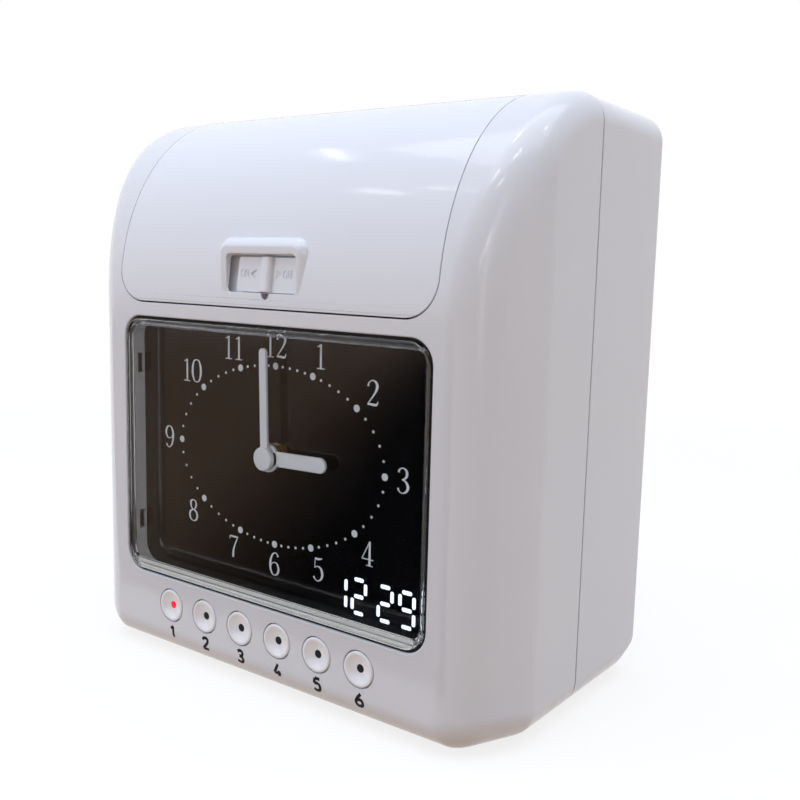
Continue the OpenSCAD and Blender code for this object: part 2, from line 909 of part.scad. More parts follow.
module display_module() {
  x1 = lens_w / 2 - 4.5;
  color("black")
    block(x1 - 42, x1, dial_rear, dial_rear + 8, lens_z - lens_h / 2 + 2.5, lens_z - lens_h / 2 + 22);
}

module button(i) {
  x = (i - 3.5) * button_pitch;
  face_y = front_y - button_proud;
  dish = 0.8;
  dish_r = button_d / 2 - 1;
  ball_r = (dish_r * dish_r + dish * dish) / (2 * dish);
  color("whitesmoke")
    difference() {
      union() {
        bar_y(button_d / 2, face_y, button_flange_y + 0.01, x, button_z);
        bar_y(button_d / 2 + button_flange, button_flange_y, button_flange_y + button_flange_t, x, button_z);
        bar_y(1.5, button_flange_y + button_flange_t - 0.01, stem_end, x, button_z - switch_drop);
      }
      translate([x, face_y + dish - ball_r, button_z])
        sphere(r = ball_r);
      bar_y(lamp_d / 2 + 0.1, face_y - past, button_flange_y + button_flange_t + past, x, button_z);
    }
}

module button_1() { button(1); }
module button_2() { button(2); }
module button_3() { button(3); }
module button_4() { button(4); }
module button_5() { button(5); }
module button_6() { button(6); }

// Lamp that stands on the board and shows in the middle of button i
module lamp(i) {
  x = (i - 3.5) * button_pitch;
  bar_y(lamp_d / 2, front_y - button_proud + 1, board_y, x, button_z);
}

module button_lamp_lit() {
  color("red")
    lamp(1);
}

module button_lamps_dark() {
  color("dimgray")
    for (i = [2 : 6])
      lamp(i);
}

module button_board() {
  color("darkgreen")
    block(-board_w / 2, board_w / 2, board_y, board_y + board_t, button_z - board_h / 2,
      button_z + board_h / 2);
}

module button_switches() {
  half = switch_w / 2;
  color("dimgray")
    for (i = [1 : 6])
      translate([(i - 3.5) * button_pitch, 0, button_z - switch_drop]) {
        block(-half, half, board_y - switch_t, board_y, -half, half - 1.5);
        bar_y(1.5, board_y - switch_t - plunger_t, board_y - switch_t / 2, 0, 0);
      }
}

module rubber_feet() {
  color("dimgray")
    for (s = [-1, 1], y = [foot_front, foot_back])
      translate([s * foot_x, y, 0])
        cylinder(r = foot_r, h = foot_h);
}

module case_screws() {
  color("silver")
    at_case_screws() {
      bar_y(screw_r, seam_y - screw_grip, screw_seat + 0.5, 0, 0);
      bar_y(head_r, screw_seat, screw_seat + head_t, 0, 0);
    }
}

// Two-pole mains inlet, its well open to the back
module power_inlet() {
  color("black")
    difference() {
      block(inlet_x - inlet_w / 2, inlet_x + inlet_w / 2, back_y - inlet_len, back_y,
        inlet_z - inlet_h / 2, inlet_z + inlet_h / 2);
      deep(back_y - inlet_well, back_y + past)
        translate([inlet_x, inlet_z])
          rounded(16, 8.4, 4.1);
      for (s = [-1, 1])
        bar_y(inlet_pin_r + seat, back_y - inlet_len - past, back_y,
          inlet_x + s * inlet_pin_gap / 2, inlet_z);
    }
}

module inlet_pins() {
  color("silver")
    for (s = [-1, 1])
      bar_y(inlet_pin_r, back_y - inlet_len - 3, back_y - 1, inlet_x + s * inlet_pin_gap / 2, inlet_z);
}

module card_slot_bezel() {
  color("gainsboro")
    difference() {
      block(-bezel_w / 2, bezel_w / 2, gap_front - bezel_lip, gap_back + bezel_lip, guide_top, bezel_top);
      block(-card_w / 2, card_w / 2, gap_front, gap_back, guide_top - past, bezel_top + past);
    }
}

module card_guide_front() {
  color("darkgray")
    difference() {
      union() {
        block(-guide_w / 2, guide_w / 2, guide_front, gap_front, stop_z, guide_top);
        for (s = [-1, 1])
          block(s * pinch_bearing_x - bearing_t / 2, s * pinch_bearing_x + bearing_t / 2,
            pinch_y - pinch_shaft_r - 2, guide_front + 0.5, feed_z - 5, feed_z + 5);
      }
      block(-card_w / 2 + 1, card_w / 2 - 1, guide_front - past, gap_front + past, print_z - 9, print_z + 9);
      for (s = [-1, 1])
        block(s * roller_x - window_w / 2, s * roller_x + window_w / 2, guide_front - past, gap_front + past,
          feed_z - window_h / 2, feed_z + window_h / 2);
      bar_x(pinch_shaft_r + run, -guide_w / 2, guide_w / 2, pinch_y, feed_z);
    }
}

module card_guide_rear() {
  color("darkgray")
    difference() {
      union() {
        block(-guide_w / 2, guide_w / 2, gap_back, guide_back, stop_z, guide_top);
        both_sides() {
          block(card_w / 2, guide_w / 2, gap_front, gap_back + 0.5, stop_z, guide_top);
          block(bearing_x - bearing_t / 2, bearing_x + bearing_t / 2, guide_back - 0.5,
            feed_y + feed_shaft_r + 1.3, feed_z - 7, feed_z + 7);
        }
        block(-low_post_x - 5, low_post_x + 5, gap_back, guide_back, low_post_z - ear_drop,
          low_post_z + ear_drop);
        block(guide_w / 2 - 1, bracket_x + sheet_t, gap_back, guide_back, feed_z - bracket_h / 2,
          feed_z + bracket_h / 2);
        block(-card_w / 2 - 1, card_w / 2 + 1, gap_front, gap_back + 0.5, stop_z, stop_z + stop_t);
      }
      block(-card_w / 2 + 1, card_w / 2 - 1, gap_back - past, guide_back + past, print_z - 9, print_z + 9);
      for (s = [-1, 1]) {
        block(s * roller_x - window_w / 2, s * roller_x + window_w / 2, gap_back - past, guide_back + past,
          feed_z - window_h / 2, feed_z + window_h / 2);
        bar_y(screw_r + 0.1, gap_back - past, guide_back + past, s * low_post_x, low_post_z);
      }
      bar_x(feed_shaft_r + run, -guide_w, guide_w, feed_y, feed_z);
    }
}

module platen() {
  color("dimgray") {
    block(-card_w / 2 + 1.2, card_w / 2 - 1.2, gap_back + 0.3, guide_back + 0.01, print_z - 8.8,
      print_z + 8.8);
    block(-card_w / 2 - 2, card_w / 2 + 2, guide_back, guide_back + 3, print_z - 11, print_z + 11);
  }
}

// Folded sheet: a deck, two cheeks and a rear flange screwed to the posts
module chassis() {
  color("lightsteelblue")
    difference() {
      union() {
        block(-cheek_x - sheet_t, cheek_x + sheet_t, deck_front, guide_front, deck_z - sheet_t, deck_z);
        both_sides()
          block(cheek_x, cheek_x + sheet_t, deck_front, guide_front, deck_z - sheet_t, cheek_top);
        block(-cheek_x - sheet_t, cheek_x + sheet_t, guide_front - sheet_t, guide_front, deck_z - sheet_t,
          deck_z + 15);
      }
      bar_x(rail_r + seat, -case_w / 2, case_w / 2, rail_y, rail_z);
      bar_x(lead_r + run, -case_w / 2, case_w / 2, lead_y, lead_z);
      bar_x(nose_r + seat, cheek_x - past, cheek_x + sheet_t + past, motor_y, motor_z);
      for (s = [-1, 1])
        bar_y(screw_r + 0.1, guide_front - sheet_t - past, guide_front + past, s * high_post_x, high_post_z);
    }
}

module chassis_screws() {
  color("silver")
    for (s = [-1, 1]) {
      bar_y(screw_r, guide_front - sheet_t - 0.5, guide_front + 8, s * high_post_x, high_post_z);
      bar_y(head_r, guide_front - sheet_t - head_t, guide_front - sheet_t, s * high_post_x, high_post_z);
      bar_y(screw_r, gap_back - 0.5, guide_back + 8, s * low_post_x, low_post_z);
      bar_y(head_r, gap_back - head_t, gap_back, s * low_post_x, low_post_z);
    }
}

module carriage_rail() {
  color("silver")
    bar_x(rail_r, -cheek_x - sheet_t, cheek_x + sheet_t, rail_y, rail_z);
}

module print_carriage() {
  half = carriage_w / 2;
  color("dimgray")
    difference() {
      block(-half, half, lead_y - 6, rail_y + 6, rail_z - 6, lead_z + 6);
      bar_x(rail_r + run, -half - past, half + past, rail_y, rail_z);
      bar_x(lead_r + run, -half - past, half + past, lead_y, lead_z);
    }
}

module print_head() {
  half = head_w / 2;
  color("silver") {
    block(-half, half, rail_y + 6, head_front - 2.5, print_z - 9, print_z + 4);
    block(-half / 2, half / 2, head_front - 2.51, head_front, print_z - 5, print_z + 3);
  }
}

module lead_screw() {
  color("silver")
    bar_x(lead_r, -cheek_x - sheet_t - 2, gear_x + gear_t + 1, lead_y, lead_z);
}

module screw_gear() {
  color("ivory")
    wheel_x(gear_x, gear_t, lead_y, lead_z)
      wheel(motor_mod, screw_teeth, motor_tilt - 90, lead_r + seat);
}

// Motor can whose nose, at nose_x, seats in a sheet; its spindle is a separate piece
module motor(nose_x, y, z) {
  color("silver")
    difference() {
      union() {
        bar_x(motor_r, nose_x - motor_len, nose_x, y, z);
        bar_x(nose_r, nose_x - past, nose_x + sheet_t, y, z);
      }
      bar_x(shaft_r + run, nose_x - spindle_in - 0.5, nose_x + sheet_t + past, y, z);
    }
}

// Pinion at gear_x on the motor's spindle
module pinion(nose_x, x0, y, z, phase) {
  color("goldenrod") {
    wheel_x(x0, gear_t, y, z)
      wheel(motor_mod, pinion_teeth, phase, shaft_r / 2);
    bar_x(shaft_r, nose_x - spindle_in, x0 + gear_t, y, z);
  }
}

module carriage_motor() {
  motor(cheek_x, motor_y, motor_z);
}

module carriage_pinion() {
  pinion(cheek_x, gear_x, motor_y, motor_z, motor_tilt + 90 + 180 / pinion_teeth);
}

module ribbon_cassette() {
  color("black")
    difference() {
      union() {
        block(-cheek_x - sheet_t, cheek_x + sheet_t, cassette_front, cassette_back, cassette_z,
          cassette_z + cassette_h);
        for (s = [-1, 1])
          block(s * arm_x - arm_w / 2, s * arm_x + arm_w / 2, band_y - 6, band_y, print_z - band_h / 2 - 1,
            cassette_z + past);
      }
      translate([knob_x, knob_y, cassette_z + 4])
        cylinder(r = knob_shaft_r + run, h = cassette_h);
    }
}

module ribbon_band() {
  color("indigo")
    block(-arm_x - arm_w / 2, arm_x + arm_w / 2, band_y, band_y + band_t, print_z - band_h / 2,
      print_z + band_h / 2);
}

module ribbon_knob() {
  color("whitesmoke")
    translate([knob_x, knob_y, 0]) {
      translate([0, 0, cassette_z + 4.3])
        cylinder(r = knob_shaft_r, h = cassette_h - 3);
      translate([0, 0, cassette_z + cassette_h + 0.3])
        linear_extrude(knob_h)
          difference() {
            circle(r = knob_r);
            for (a = [0 : 30 : 330])
              rotate(a)
                translate([knob_r + 0.4, 0])
                  circle(r = 1.1);
          }
    }
}

module feed_shaft() {
  color("silver")
    bar_x(feed_shaft_r, -bearing_x - 5, feed_gear_x + gear_t + 1, feed_y, feed_z);
}

module feed_rollers() {
  color("dimgray")
    for (s = [-1, 1])
      difference() {
        bar_x(feed_r, s * roller_x - roller_w / 2, s * roller_x + roller_w / 2, feed_y, feed_z);
        bar_x(feed_shaft_r + seat, s * roller_x - roller_w, s * roller_x + roller_w, feed_y, feed_z);
      }
}

module feed_gear() {
  color("ivory")
    wheel_x(feed_gear_x, gear_t, feed_y, feed_z)
      wheel(motor_mod, feed_teeth, 90, feed_shaft_r + seat);
}

module feed_motor() {
  motor(bracket_x, feed_motor_y, feed_z);
}

module feed_pinion() {
  pinion(bracket_x, feed_gear_x, feed_motor_y, feed_z, 270 + 180 / pinion_teeth);
}

// Angle of sheet that holds the feed motor to the rear guide
module motor_bracket() {
  color("lightsteelblue")
    difference() {
      union() {
        block(guide_w / 2 + 0.5, bracket_x + sheet_t, guide_back, guide_back + sheet_t,
          feed_z - bracket_h / 2, feed_z + bracket_h / 2);
        block(bracket_x, bracket_x + sheet_t, guide_back, feed_motor_y + motor_r, feed_z - bracket_h / 2,
          feed_z + bracket_h / 2);
      }
      bar_x(feed_shaft_r + 0.5, 0, case_w / 2, feed_y, feed_z);
      bar_x(nose_r + seat, bracket_x - past, bracket_x + sheet_t + past, feed_motor_y, feed_z);
    }
}

module pinch_rollers() {
  color("dimgray") {
    bar_x(pinch_shaft_r, -pinch_bearing_x - 4, pinch_bearing_x + 4, pinch_y, feed_z);
    for (s = [-1, 1])
      bar_x(pinch_r, s * roller_x - roller_w / 2, s * roller_x + roller_w / 2, pinch_y, feed_z);
  }
}

module main_board() {
  color("darkgreen")
    block(main_x - main_w / 2, main_x + main_w / 2, main_y, main_y + board_t, main_low, main_low + main_h);
}

// Buffer capacitors, processor, connector and beeper on the main board
module board_parts() {
  main_top = main_low + main_h;
  left = main_x - main_w / 2 + 8;
  color("dimgray") {
    for (i = [0, 1])
      bar_y(5, main_y - 14, main_y, left + 2 + 12 * i, main_top - 14);
    block(left, left + 34, main_y - 3, main_y, main_low + 34, main_low + 48);
    block(left, left + 38, main_y - 8, main_y, main_low + 4, main_low + 12);
    bar_y(9, main_y - 8, main_y, left + 52, main_top - 16);
  }
}

// Stacked core with its winding, standing on the floor ahead of where it rises
module transformer() {
  core_w = 36;
  core_h = 32;
  x0 = -case_w / 2 + 24;
  color("dimgray") {
    block(x0, x0 + core_w, rise_y - 23, rise_y - 7, floor_z, floor_z + core_h);
    block(x0 + 8, x0 + core_w - 8, rise_y - 28, rise_y - 2, floor_z + 6, floor_z + core_h - 6);
  }
}

// Three cells in one wrap, lying on the floor ahead of where it rises
module backup_battery() {
  cell_r = 7;
  cell_len = 27;
  color("green")
    deep(rise_y - cell_len - 1, rise_y - 1)
      translate([case_w / 2 - 68, floor_z]) {
        for (i = [0 : 2])
          translate([cell_r + i * 1.95 * cell_r, cell_r])
            circle(r = cell_r);
        translate([cell_r, 0])
          square([3.9 * cell_r, cell_r]);
      }
}

front_case();
rear_case();
top_lid();
lid_hinge_pins();
lock_slide();
window_lens();
dial_frame();
dial_screws();
dial_plate();
hour_hand();
minute_hand();
movement_case();
movement_cover();
movement_nut();
minute_arbor();
motion_wheel();
hour_wheel();
movement_coil();
display_module();
button_1();
button_2();
button_3();
button_4();
button_5();
button_6();
button_lamp_lit();
button_lamps_dark();
button_board();
button_switches();
rubber_feet();
case_screws();
power_inlet();
inlet_pins();
card_slot_bezel();
card_guide_front();
card_guide_rear();
platen();
chassis();
chassis_screws();
carriage_rail();
print_carriage();
print_head();
lead_screw();
screw_gear();
carriage_motor();
carriage_pinion();
ribbon_cassette();
ribbon_band();
ribbon_knob();
feed_shaft();
feed_rollers();
feed_gear();
feed_motor();
feed_pinion();
motor_bracket();
pinch_rollers();
main_board();
board_parts();
transformer();
backup_battery();
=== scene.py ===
import json
import math

import bmesh
import bpy
from mathutils import Matrix, Vector


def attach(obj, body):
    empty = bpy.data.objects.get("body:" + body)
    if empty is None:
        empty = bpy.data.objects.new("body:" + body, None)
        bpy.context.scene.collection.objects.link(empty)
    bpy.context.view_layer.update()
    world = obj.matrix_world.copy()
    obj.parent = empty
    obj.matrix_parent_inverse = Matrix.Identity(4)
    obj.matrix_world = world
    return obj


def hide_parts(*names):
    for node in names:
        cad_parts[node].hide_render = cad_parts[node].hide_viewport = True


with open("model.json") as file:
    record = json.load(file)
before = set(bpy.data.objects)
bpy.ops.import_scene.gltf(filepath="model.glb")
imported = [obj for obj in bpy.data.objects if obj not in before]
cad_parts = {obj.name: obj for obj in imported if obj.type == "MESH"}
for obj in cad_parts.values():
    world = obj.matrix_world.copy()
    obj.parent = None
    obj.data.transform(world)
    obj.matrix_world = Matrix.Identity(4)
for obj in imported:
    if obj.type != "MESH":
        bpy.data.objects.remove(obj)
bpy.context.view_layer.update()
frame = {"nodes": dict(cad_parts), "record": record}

# Sizes in millimetres, as in the part's source. X is to the right, Y to the back, Z up.
MM = 0.001

# Case
CASE_HALF = 116.0
FRONT = -62.75
SEAM = FRONT + 66.0
BACK = FRONT + 127.0
CASE_LOW = 2.0
CASE_TOP = 249.0
REAR_TOP = 248.5
REAR_DROP = 1.5
REAR_LIFT = 4.0
LIFT_RUN = 13.0
WALL = 2.8
EDGE_R = 12.0
BOTTOM_R = 12.8
BACK_R = 4.5
ROLL_Z = 164.0
ROLL_DEPTH = 70.0
ROLL_END = math.acos(1 - (SEAM - FRONT) / ROLL_DEPTH)
ROLL_H = (CASE_TOP - ROLL_Z) / math.sin(ROLL_END)
FORM_DEPTH = 80
SLANT_BACK = 31.0
SLANT_CUTS = (-16, -13, -10, -7, -4.4, -1.8, -0.6, 0.6, 1.8)
CREASE = math.radians(13)
SLANT_BEND = 0.0086
CORNER_LIFT, CORNER_FADE, CORNER_RUN = 3.2, 80, 36
LID_GAP = 0.3
LID_LOW_GAP = 0.6
SEAM_GAP = 0.8


def on_roll(turn, inside=0.0):
    """Depth and height of a point on the roll, or inside it, and how far it leans back there."""
    lean = math.atan2(math.sin(turn) / ROLL_H, math.cos(turn) / ROLL_DEPTH)
    return (FRONT + ROLL_DEPTH * (1 - math.cos(turn)) + inside * math.cos(lean),
            ROLL_Z + ROLL_H * math.sin(turn) - inside * math.sin(lean), lean)


# Lid and its lock slide
LID_HALF = 87.8
LID_LOW = 162.35
LID_T = 2.5
LID_CORNER = 15.0
HINGE_TURN = math.radians(77)
LID_END = on_roll(HINGE_TURN)[0]
BARREL_R, LUG_R = 6.0, 4.5
*HINGE, HINGE_LEAN = on_roll(HINGE_TURN, BARREL_R)
LID_SWING = math.radians(75)
LEDGE_BACK = FRONT + 5.6
SLOT_X, SLOT_MID = 1.2, 176.7
SLOT_W, SLOT_H = 38.4, 15.2
SLOT_Y, SLOT_Z, SLOT_TILT = on_roll(math.asin((SLOT_MID - ROLL_Z) / ROLL_H))
SLIDE_X, SLIDE_W = 3.2, 33.2
RIB_X, RIB_W = 3.6, 5.8
HOOK_X, HOOK_GAP = (-13.4, -7.4), (-14, -6.8)
HOOD_LOW, HOOD_TOP = 166.6, 191.2

# Window, dial and hands
LENS_X, LENS_HALF, LENS_LOW, LENS_TOP = 0.8, 84.6, 39.0, 155.0
LENS_R = 9.0
LENS_GAP, LENS_LOW_GAP = 1.1, 1.3
LENS_BACK = FRONT + 4.3
SEAT_Y = FRONT + 2.8
DIAL_Y, DIAL_Z = FRONT + 11.6, 100.5
DOTS_X, DOTS_Z = 58.3, 38.2
HOUR_Y, MINUTE_Y, HAND_T = FRONT + 7.8, FRONT + 5.8, 1.2

# Buttons and their numbers
BUTTONS = range(1, 7)
BUTTON_Z, BUTTON_PITCH, BUTTON_R = 25.1, 22.0, 7.25
BUTTON_X = 0.3
BUTTON_BACK = FRONT + 2.9
BUTTON_DISH = 1.7
NUMBER_X, NUMBER_Z, NUMBER_H = 1.1, 12.8, 5.6

# Back, card slot and feet
BOSS_X, BOSS_HEIGHTS, BOSS_R = 100, (22, 229), 4.5
SCREW_R, SCREW_BORE = 3.25, (SEAM + 8, BACK + 5)
KEY_X, KEY_Z, KEY_TOP, KEY_R = 80, 203, 214.2, 4.5
VENT_X, VENT_PITCH, VENT_LOW, VENT_TOP = 74, 7, 42, 70
INLET_X, INLET_Z = (-50.6, -29.4), (24.9, 39.1)
BEZEL_HALF, BEZEL_Y, BEZEL_TOP = 51, (SEAM + 4.05, SEAM + 13.45), REAR_TOP + 0.8
BEZEL_FIT = 0.1
CARD_HALF, CARD_Y = 44.5, (SEAM + 6.25, SEAM + 11.25)
FOOT_X, FOOT_DEPTHS, FOOT_R, FOOT_T = 85, (FRONT + 33, BACK - 34), 7, 2.1


def button_x(i, middle=BUTTON_X):
    """How far to the right a button stands, or its number."""
    return (i - 3.5) * BUTTON_PITCH + middle


# ---- Working by hand ----

def settle():
    """Object mode, with nothing selected."""
    if bpy.context.object and bpy.context.object.mode != "OBJECT":
        bpy.ops.object.mode_set(mode="OBJECT")
    bpy.ops.object.select_all(action="DESELECT")


def take(*pieces):
    settle()
    for piece in pieces:
        piece.select_set(True)
    bpy.context.view_layer.objects.active = pieces[0]
    return pieces[0]


def set_down(piece):
    """Puts the piece's place, turn and size into its mesh."""
    take(piece)
    bpy.ops.object.transform_apply(location=True, rotation=True, scale=True)
    return piece


def block(name, x, y, z):
    settle()
    bpy.ops.mesh.primitive_cube_add(size=1, location=[sum(p) / 2 * MM for p in (x, y, z)])
    piece = bpy.context.object
    piece.name = name
    piece.scale = [(p[1] - p[0]) * MM for p in (x, y, z)]
    return set_down(piece)


def round_bar(name, r, length, middle, turn, sides):
    settle()
    bpy.ops.mesh.primitive_cylinder_add(vertices=sides, radius=r * MM, depth=length * MM,
                                        location=[p * MM for p in middle], rotation=turn)
    piece = bpy.context.object
    piece.name = name
    return set_down(piece)


def rod(name, r, y, x, z, sides=64):
    """A round bar along Y."""
    return round_bar(name, r, y[1] - y[0], (x, sum(y) / 2, z), (math.pi / 2, 0, 0), sides)


def cross_rod(name, r, x, y, z, sides=48):
    """A round bar along X."""
    return round_bar(name, r, x[1] - x[0], (sum(x) / 2, y, z), (0, math.pi / 2, 0), sides)


def mark(piece, kind, test):
    """Edit mode, with the points, edges or faces that pass the test selected."""
    take(piece)
    bpy.ops.object.mode_set(mode="EDIT")
    bpy.ops.mesh.select_mode(type=kind)
    bpy.ops.mesh.select_all(action="DESELECT")
    mesh = bmesh.from_edit_mesh(piece.data)
    mesh.normal_update()
    for part in {"EDGE": mesh.edges, "FACE": mesh.faces, "VERT": mesh.verts}[kind]:
        if test(part):
            part.select_set(True)
    mesh.select_flush_mode()
    bmesh.update_edit_mesh(piece.data)


def at(part, axis, value):
    """Whether all of an edge or face lies at this millimetre value on the axis."""
    return all(abs(v.co[axis] / MM - value) < 0.02 for v in part.verts)


def along(edge, axis):
    line = (edge.verts[1].co - edge.verts[0].co).normalized()
    return abs(line[axis]) > 0.99


def round_over(piece, test, width, steps=4, shape=0.5):
    mark(piece, "EDGE", test)
    bpy.ops.mesh.bevel(offset=width * MM, segments=steps, profile=shape, affect="EDGES")
    settle()
    return piece


def saw(piece, point, normal, cap=True, drop=True):
    """Cuts along a plane, and drops what is outside it or keeps both sides."""
    mark(piece, "FACE", lambda f: True)
    bpy.ops.mesh.bisect(plane_co=[p * MM for p in point], plane_no=normal, use_fill=cap,
                        clear_outer=drop, threshold=1e-7)
    settle()
    return piece


def peel(piece, test):
    """Takes faces off."""
    mark(piece, "FACE", test)
    bpy.ops.mesh.delete(type="FACE")
    settle()
    return piece


def apply(piece, kind, **settings):
    take(piece)
    change = piece.modifiers.new(kind, kind)
    for key, value in settings.items():
        setattr(change, key, value)
    bpy.ops.object.modifier_apply(modifier=change.name)
    return piece


def carve(piece, *tools, how="DIFFERENCE"):
    for tool in tools:
        apply(piece, "BOOLEAN", operation=how, object=tool, solver="EXACT")
        bpy.data.objects.remove(tool)
    return piece


def hollow(piece, thick):
    return apply(piece, "SOLIDIFY", thickness=thick * MM, offset=-1, use_even_offset=True)


def twin(piece, name):
    new = piece.copy()
    new.data = piece.data.copy()
    new.name = name
    bpy.context.collection.objects.link(new)
    return new


def join(name, *pieces):
    take(*pieces)
    if len(pieces) > 1:
        bpy.ops.object.join()
    pieces[0].name = name
    return pieces[0]


def ease(piece, width=0.3, angle=38, steps=2):
    """Breaks the sharp edges and smooths the rest."""
    apply(piece, "BEVEL", width=width * MM, segments=steps, limit_method="ANGLE",
          angle_limit=math.radians(angle), use_clamp_overlap=False, miter_outer="MITER_ARC",
          harden_normals=False)
    return smooth(piece)


def ease_cuts(shell, skin, width):
    """Breaks the sharp edges where cuts and rims meet the outer skin."""
    bpy.context.view_layer.update()

    def outside(edge):
        if edge.calc_face_angle(0) < math.radians(38):
            return False
        return all((skin.closest_point_on_mesh(v.co)[1] - v.co).length < 0.02 * MM
                   for v in edge.verts)

    return smooth(round_over(shell, outside, width, 2))


def smooth(piece, angle=35):
    take(piece)
    bpy.ops.object.shade_smooth_by_angle(angle=math.radians(angle))
    apply(piece, "WEIGHTED_NORMAL", keep_sharp=True, weight=80)
    return piece


def keep_flow(piece, skin):
    """Gives the cut piece the uncut skin's shading, so that cuts leave no creases round them."""
    smooth(skin, 60)
    apply(piece, "DATA_TRANSFER", object=skin, use_loop_data=True, data_types_loops={"CUSTOM_NORMAL"},
          loop_mapping="POLYINTERP_NEAREST", use_max_distance=True, max_distance=0.03 * MM)
    bpy.data.objects.remove(skin)
    return piece


def plate(name, half, low, top, corner, y, cx=0.0, steps=10):
    """A block with rounded corners, seen from the front."""
    piece = block(name, (cx - half, cx + half), y, (low, top))
    return round_over(piece, lambda e: along(e, 1), corner, steps)


def onto_lid(piece):
    """Sets a piece made at the origin onto the sloping lid."""
    piece.rotation_euler = (-SLOT_TILT, 0, 0)
    piece.location = (0, SLOT_Y * MM, SLOT_Z * MM)
    return set_down(piece)


# ---- Materials ----

def tint(code):
    """sRGB hex to linear colour."""
    parts = [int(code[i:i + 2], 16) / 255 for i in (1, 3, 5)]
    return [c / 12.92 if c <= 0.04045 else ((c + 0.055) / 1.055) ** 2.4 for c in parts] + [1.0]


def add(mat, kind, sockets=None, **settings):
    node = mat.node_tree.nodes.new(kind)
    for key, value in settings.items():
        setattr(node, key, value)
    for key, value in (sockets or {}).items():
        if isinstance(value, bpy.types.NodeSocket):
            mat.node_tree.links.new(value, node.inputs[key])
        else:
            node.inputs[key].default_value = value
    return node


def blank(name):
    mat = bpy.data.materials.new(name)
    mat.use_nodes = True
    mat.node_tree.nodes.clear()
    return mat


def finish(name, light, dark, rough, cloud_mm=40, grain_mm=0.8, grain_depth=0.01, swing=0.05, **skin):
    """A surface with a slow drift of colour, a fine grain, and gloss that follows the grain."""
    mat = blank(name)
    spot = add(mat, "ShaderNodeTexCoord").outputs["Object"]
    cloud = add(mat, "ShaderNodeTexNoise",
                {"Vector": spot, "Scale": 1 / (cloud_mm * MM), "Detail": 3.0})
    grain = add(mat, "ShaderNodeTexNoise",
                {"Vector": spot, "Scale": 1 / (grain_mm * MM), "Detail": 2.0})
    tone = add(mat, "ShaderNodeMix", {0: cloud.outputs[0], 6: tint(light), 7: tint(dark)},
               data_type="RGBA")
    gloss = add(mat, "ShaderNodeMapRange",
                {0: grain.outputs[0], 1: 0.3, 2: 0.7, 3: rough - swing, 4: rough + swing})
    relief = add(mat, "ShaderNodeBump",
                 {"Strength": 0.5, "Distance": grain_depth * MM, "Height": grain.outputs[0]})
    body = {"Base Color": tone.outputs[2], "Roughness": gloss.outputs[0], "Normal": relief.outputs[0]}
    body.update({key.replace("_", " "): value for key, value in skin.items()})
    surface = add(mat, "ShaderNodeBsdfPrincipled", body)
    add(mat, "ShaderNodeOutputMaterial", {"Surface": surface.outputs[0]})
    return mat


# Moulded ABS: white with a cool cast, satin from a fine spark-eroded mould.
case_abs = finish("abs_moulded_satin_white", "#E3E5EA", "#E0E2E8", 0.13, grain_mm=3, grain_depth=0.002,
                  swing=0.02, IOR=1.53)
# Moulded ABS from a polished mould: the same white, glossier, so that lamps draw streaks on it.
lid_abs = finish("abs_moulded_polished_white", "#E6E9EF", "#E3E6ED", 0.1, grain_mm=4, grain_depth=0.002,
                 swing=0.02, IOR=1.53)
# Moulded ABS, plain grey: a matt trim round the card slot.
grey_abs = finish("abs_moulded_grey", "#B9BABD", "#AFB0B4", 0.45, IOR=1.53)
# Moulded ABS, pale grey: walls round the dial that catch the light from the window.
frame_abs = finish("abs_moulded_pale_grey", "#EBECEE", "#E4E5E8", 0.4, IOR=1.53)
# Moulded ABS, bright: a cleaner white than the case, for the buttons.
bright_abs = finish("abs_moulded_bright_white", "#F6F7FA", "#F2F4F8", 0.24, grain_mm=3,
                    grain_depth=0.002, swing=0.02, IOR=1.53)
# Enamelled steel dial: deep black, half gloss.
dial_paint = finish("black_enamel_semi_gloss", "#060608", "#0A0A0D", 0.14, grain_mm=0.6,
                    grain_depth=0.002, IOR=1.5)
# Screen-printed ink: light grey, flat, a touch uneven.
dial_ink = finish("screen_print_light_grey", "#EDEEF0", "#E2E3E6", 0.55, cloud_mm=6, IOR=1.5)
# Painted aluminium hands: pale grey, satin.
hand_paint = finish("aluminium_painted_pale_grey", "#F1F2F4", "#EAEBEE", 0.35, IOR=1.5)
# Pad-printed ink: black and flat, with little gloss.
number_ink = finish("pad_print_black", "#121010", "#191615", 0.6, cloud_mm=5, IOR=1.5,
                    Specular_IOR_Level=0.2)
# White foam tape: bright, flat and a little warm.
seat_tape = finish("foam_tape_white", "#F7F5F1", "#F1EEE8", 0.7, grain_mm=0.5, grain_depth=0.05,
                   IOR=1.45)
# Black foam, dull and grainy: painted shade, laid in the gaps under the lid and round the window, where
# shadow falls.
painted_shade_foam = finish("painted_shade_black_foam", "#0C0C0D", "#141415", 0.8, grain_mm=0.5, grain_depth=0.1,
                     IOR=1.45)
# Moulded rubber: dark grey and dull.
rubber = finish("rubber_moulded_dark", "#26262A", "#1E1E22", 0.75, grain_mm=0.6, grain_depth=0.04,
                IOR=1.52)
# Moulded phenolic: black, hard, half gloss.
dark_mould = finish("phenolic_moulded_black", "#141416", "#1B1B1E", 0.38, IOR=1.55)
# Moulded ABS, charcoal: dull dark walls for the clock movement.
movement_abs = finish("abs_moulded_charcoal", "#232427", "#1C1D20", 0.42, IOR=1.53)
# Turned brass: warm metal, fairly bright, with a fine grain.
brass = finish("brass_turned", "#C9A35A", "#BD954C", 0.26, cloud_mm=8, grain_mm=0.5, grain_depth=0.006,
               Metallic=1.0)
# Ground steel: pale metal, even and fairly bright.
steel = finish("steel_ground", "#B9BBBF", "#A9ABB0", 0.24, cloud_mm=10, grain_mm=0.4, grain_depth=0.006,
               Metallic=1.0)
# Zinc-plated sheet: grey metal with a cloudy spangle.
sheet = finish("steel_zinc_plated", "#A6A9AE", "#9297A0", 0.36, cloud_mm=7, grain_mm=1.5, Metallic=1.0)
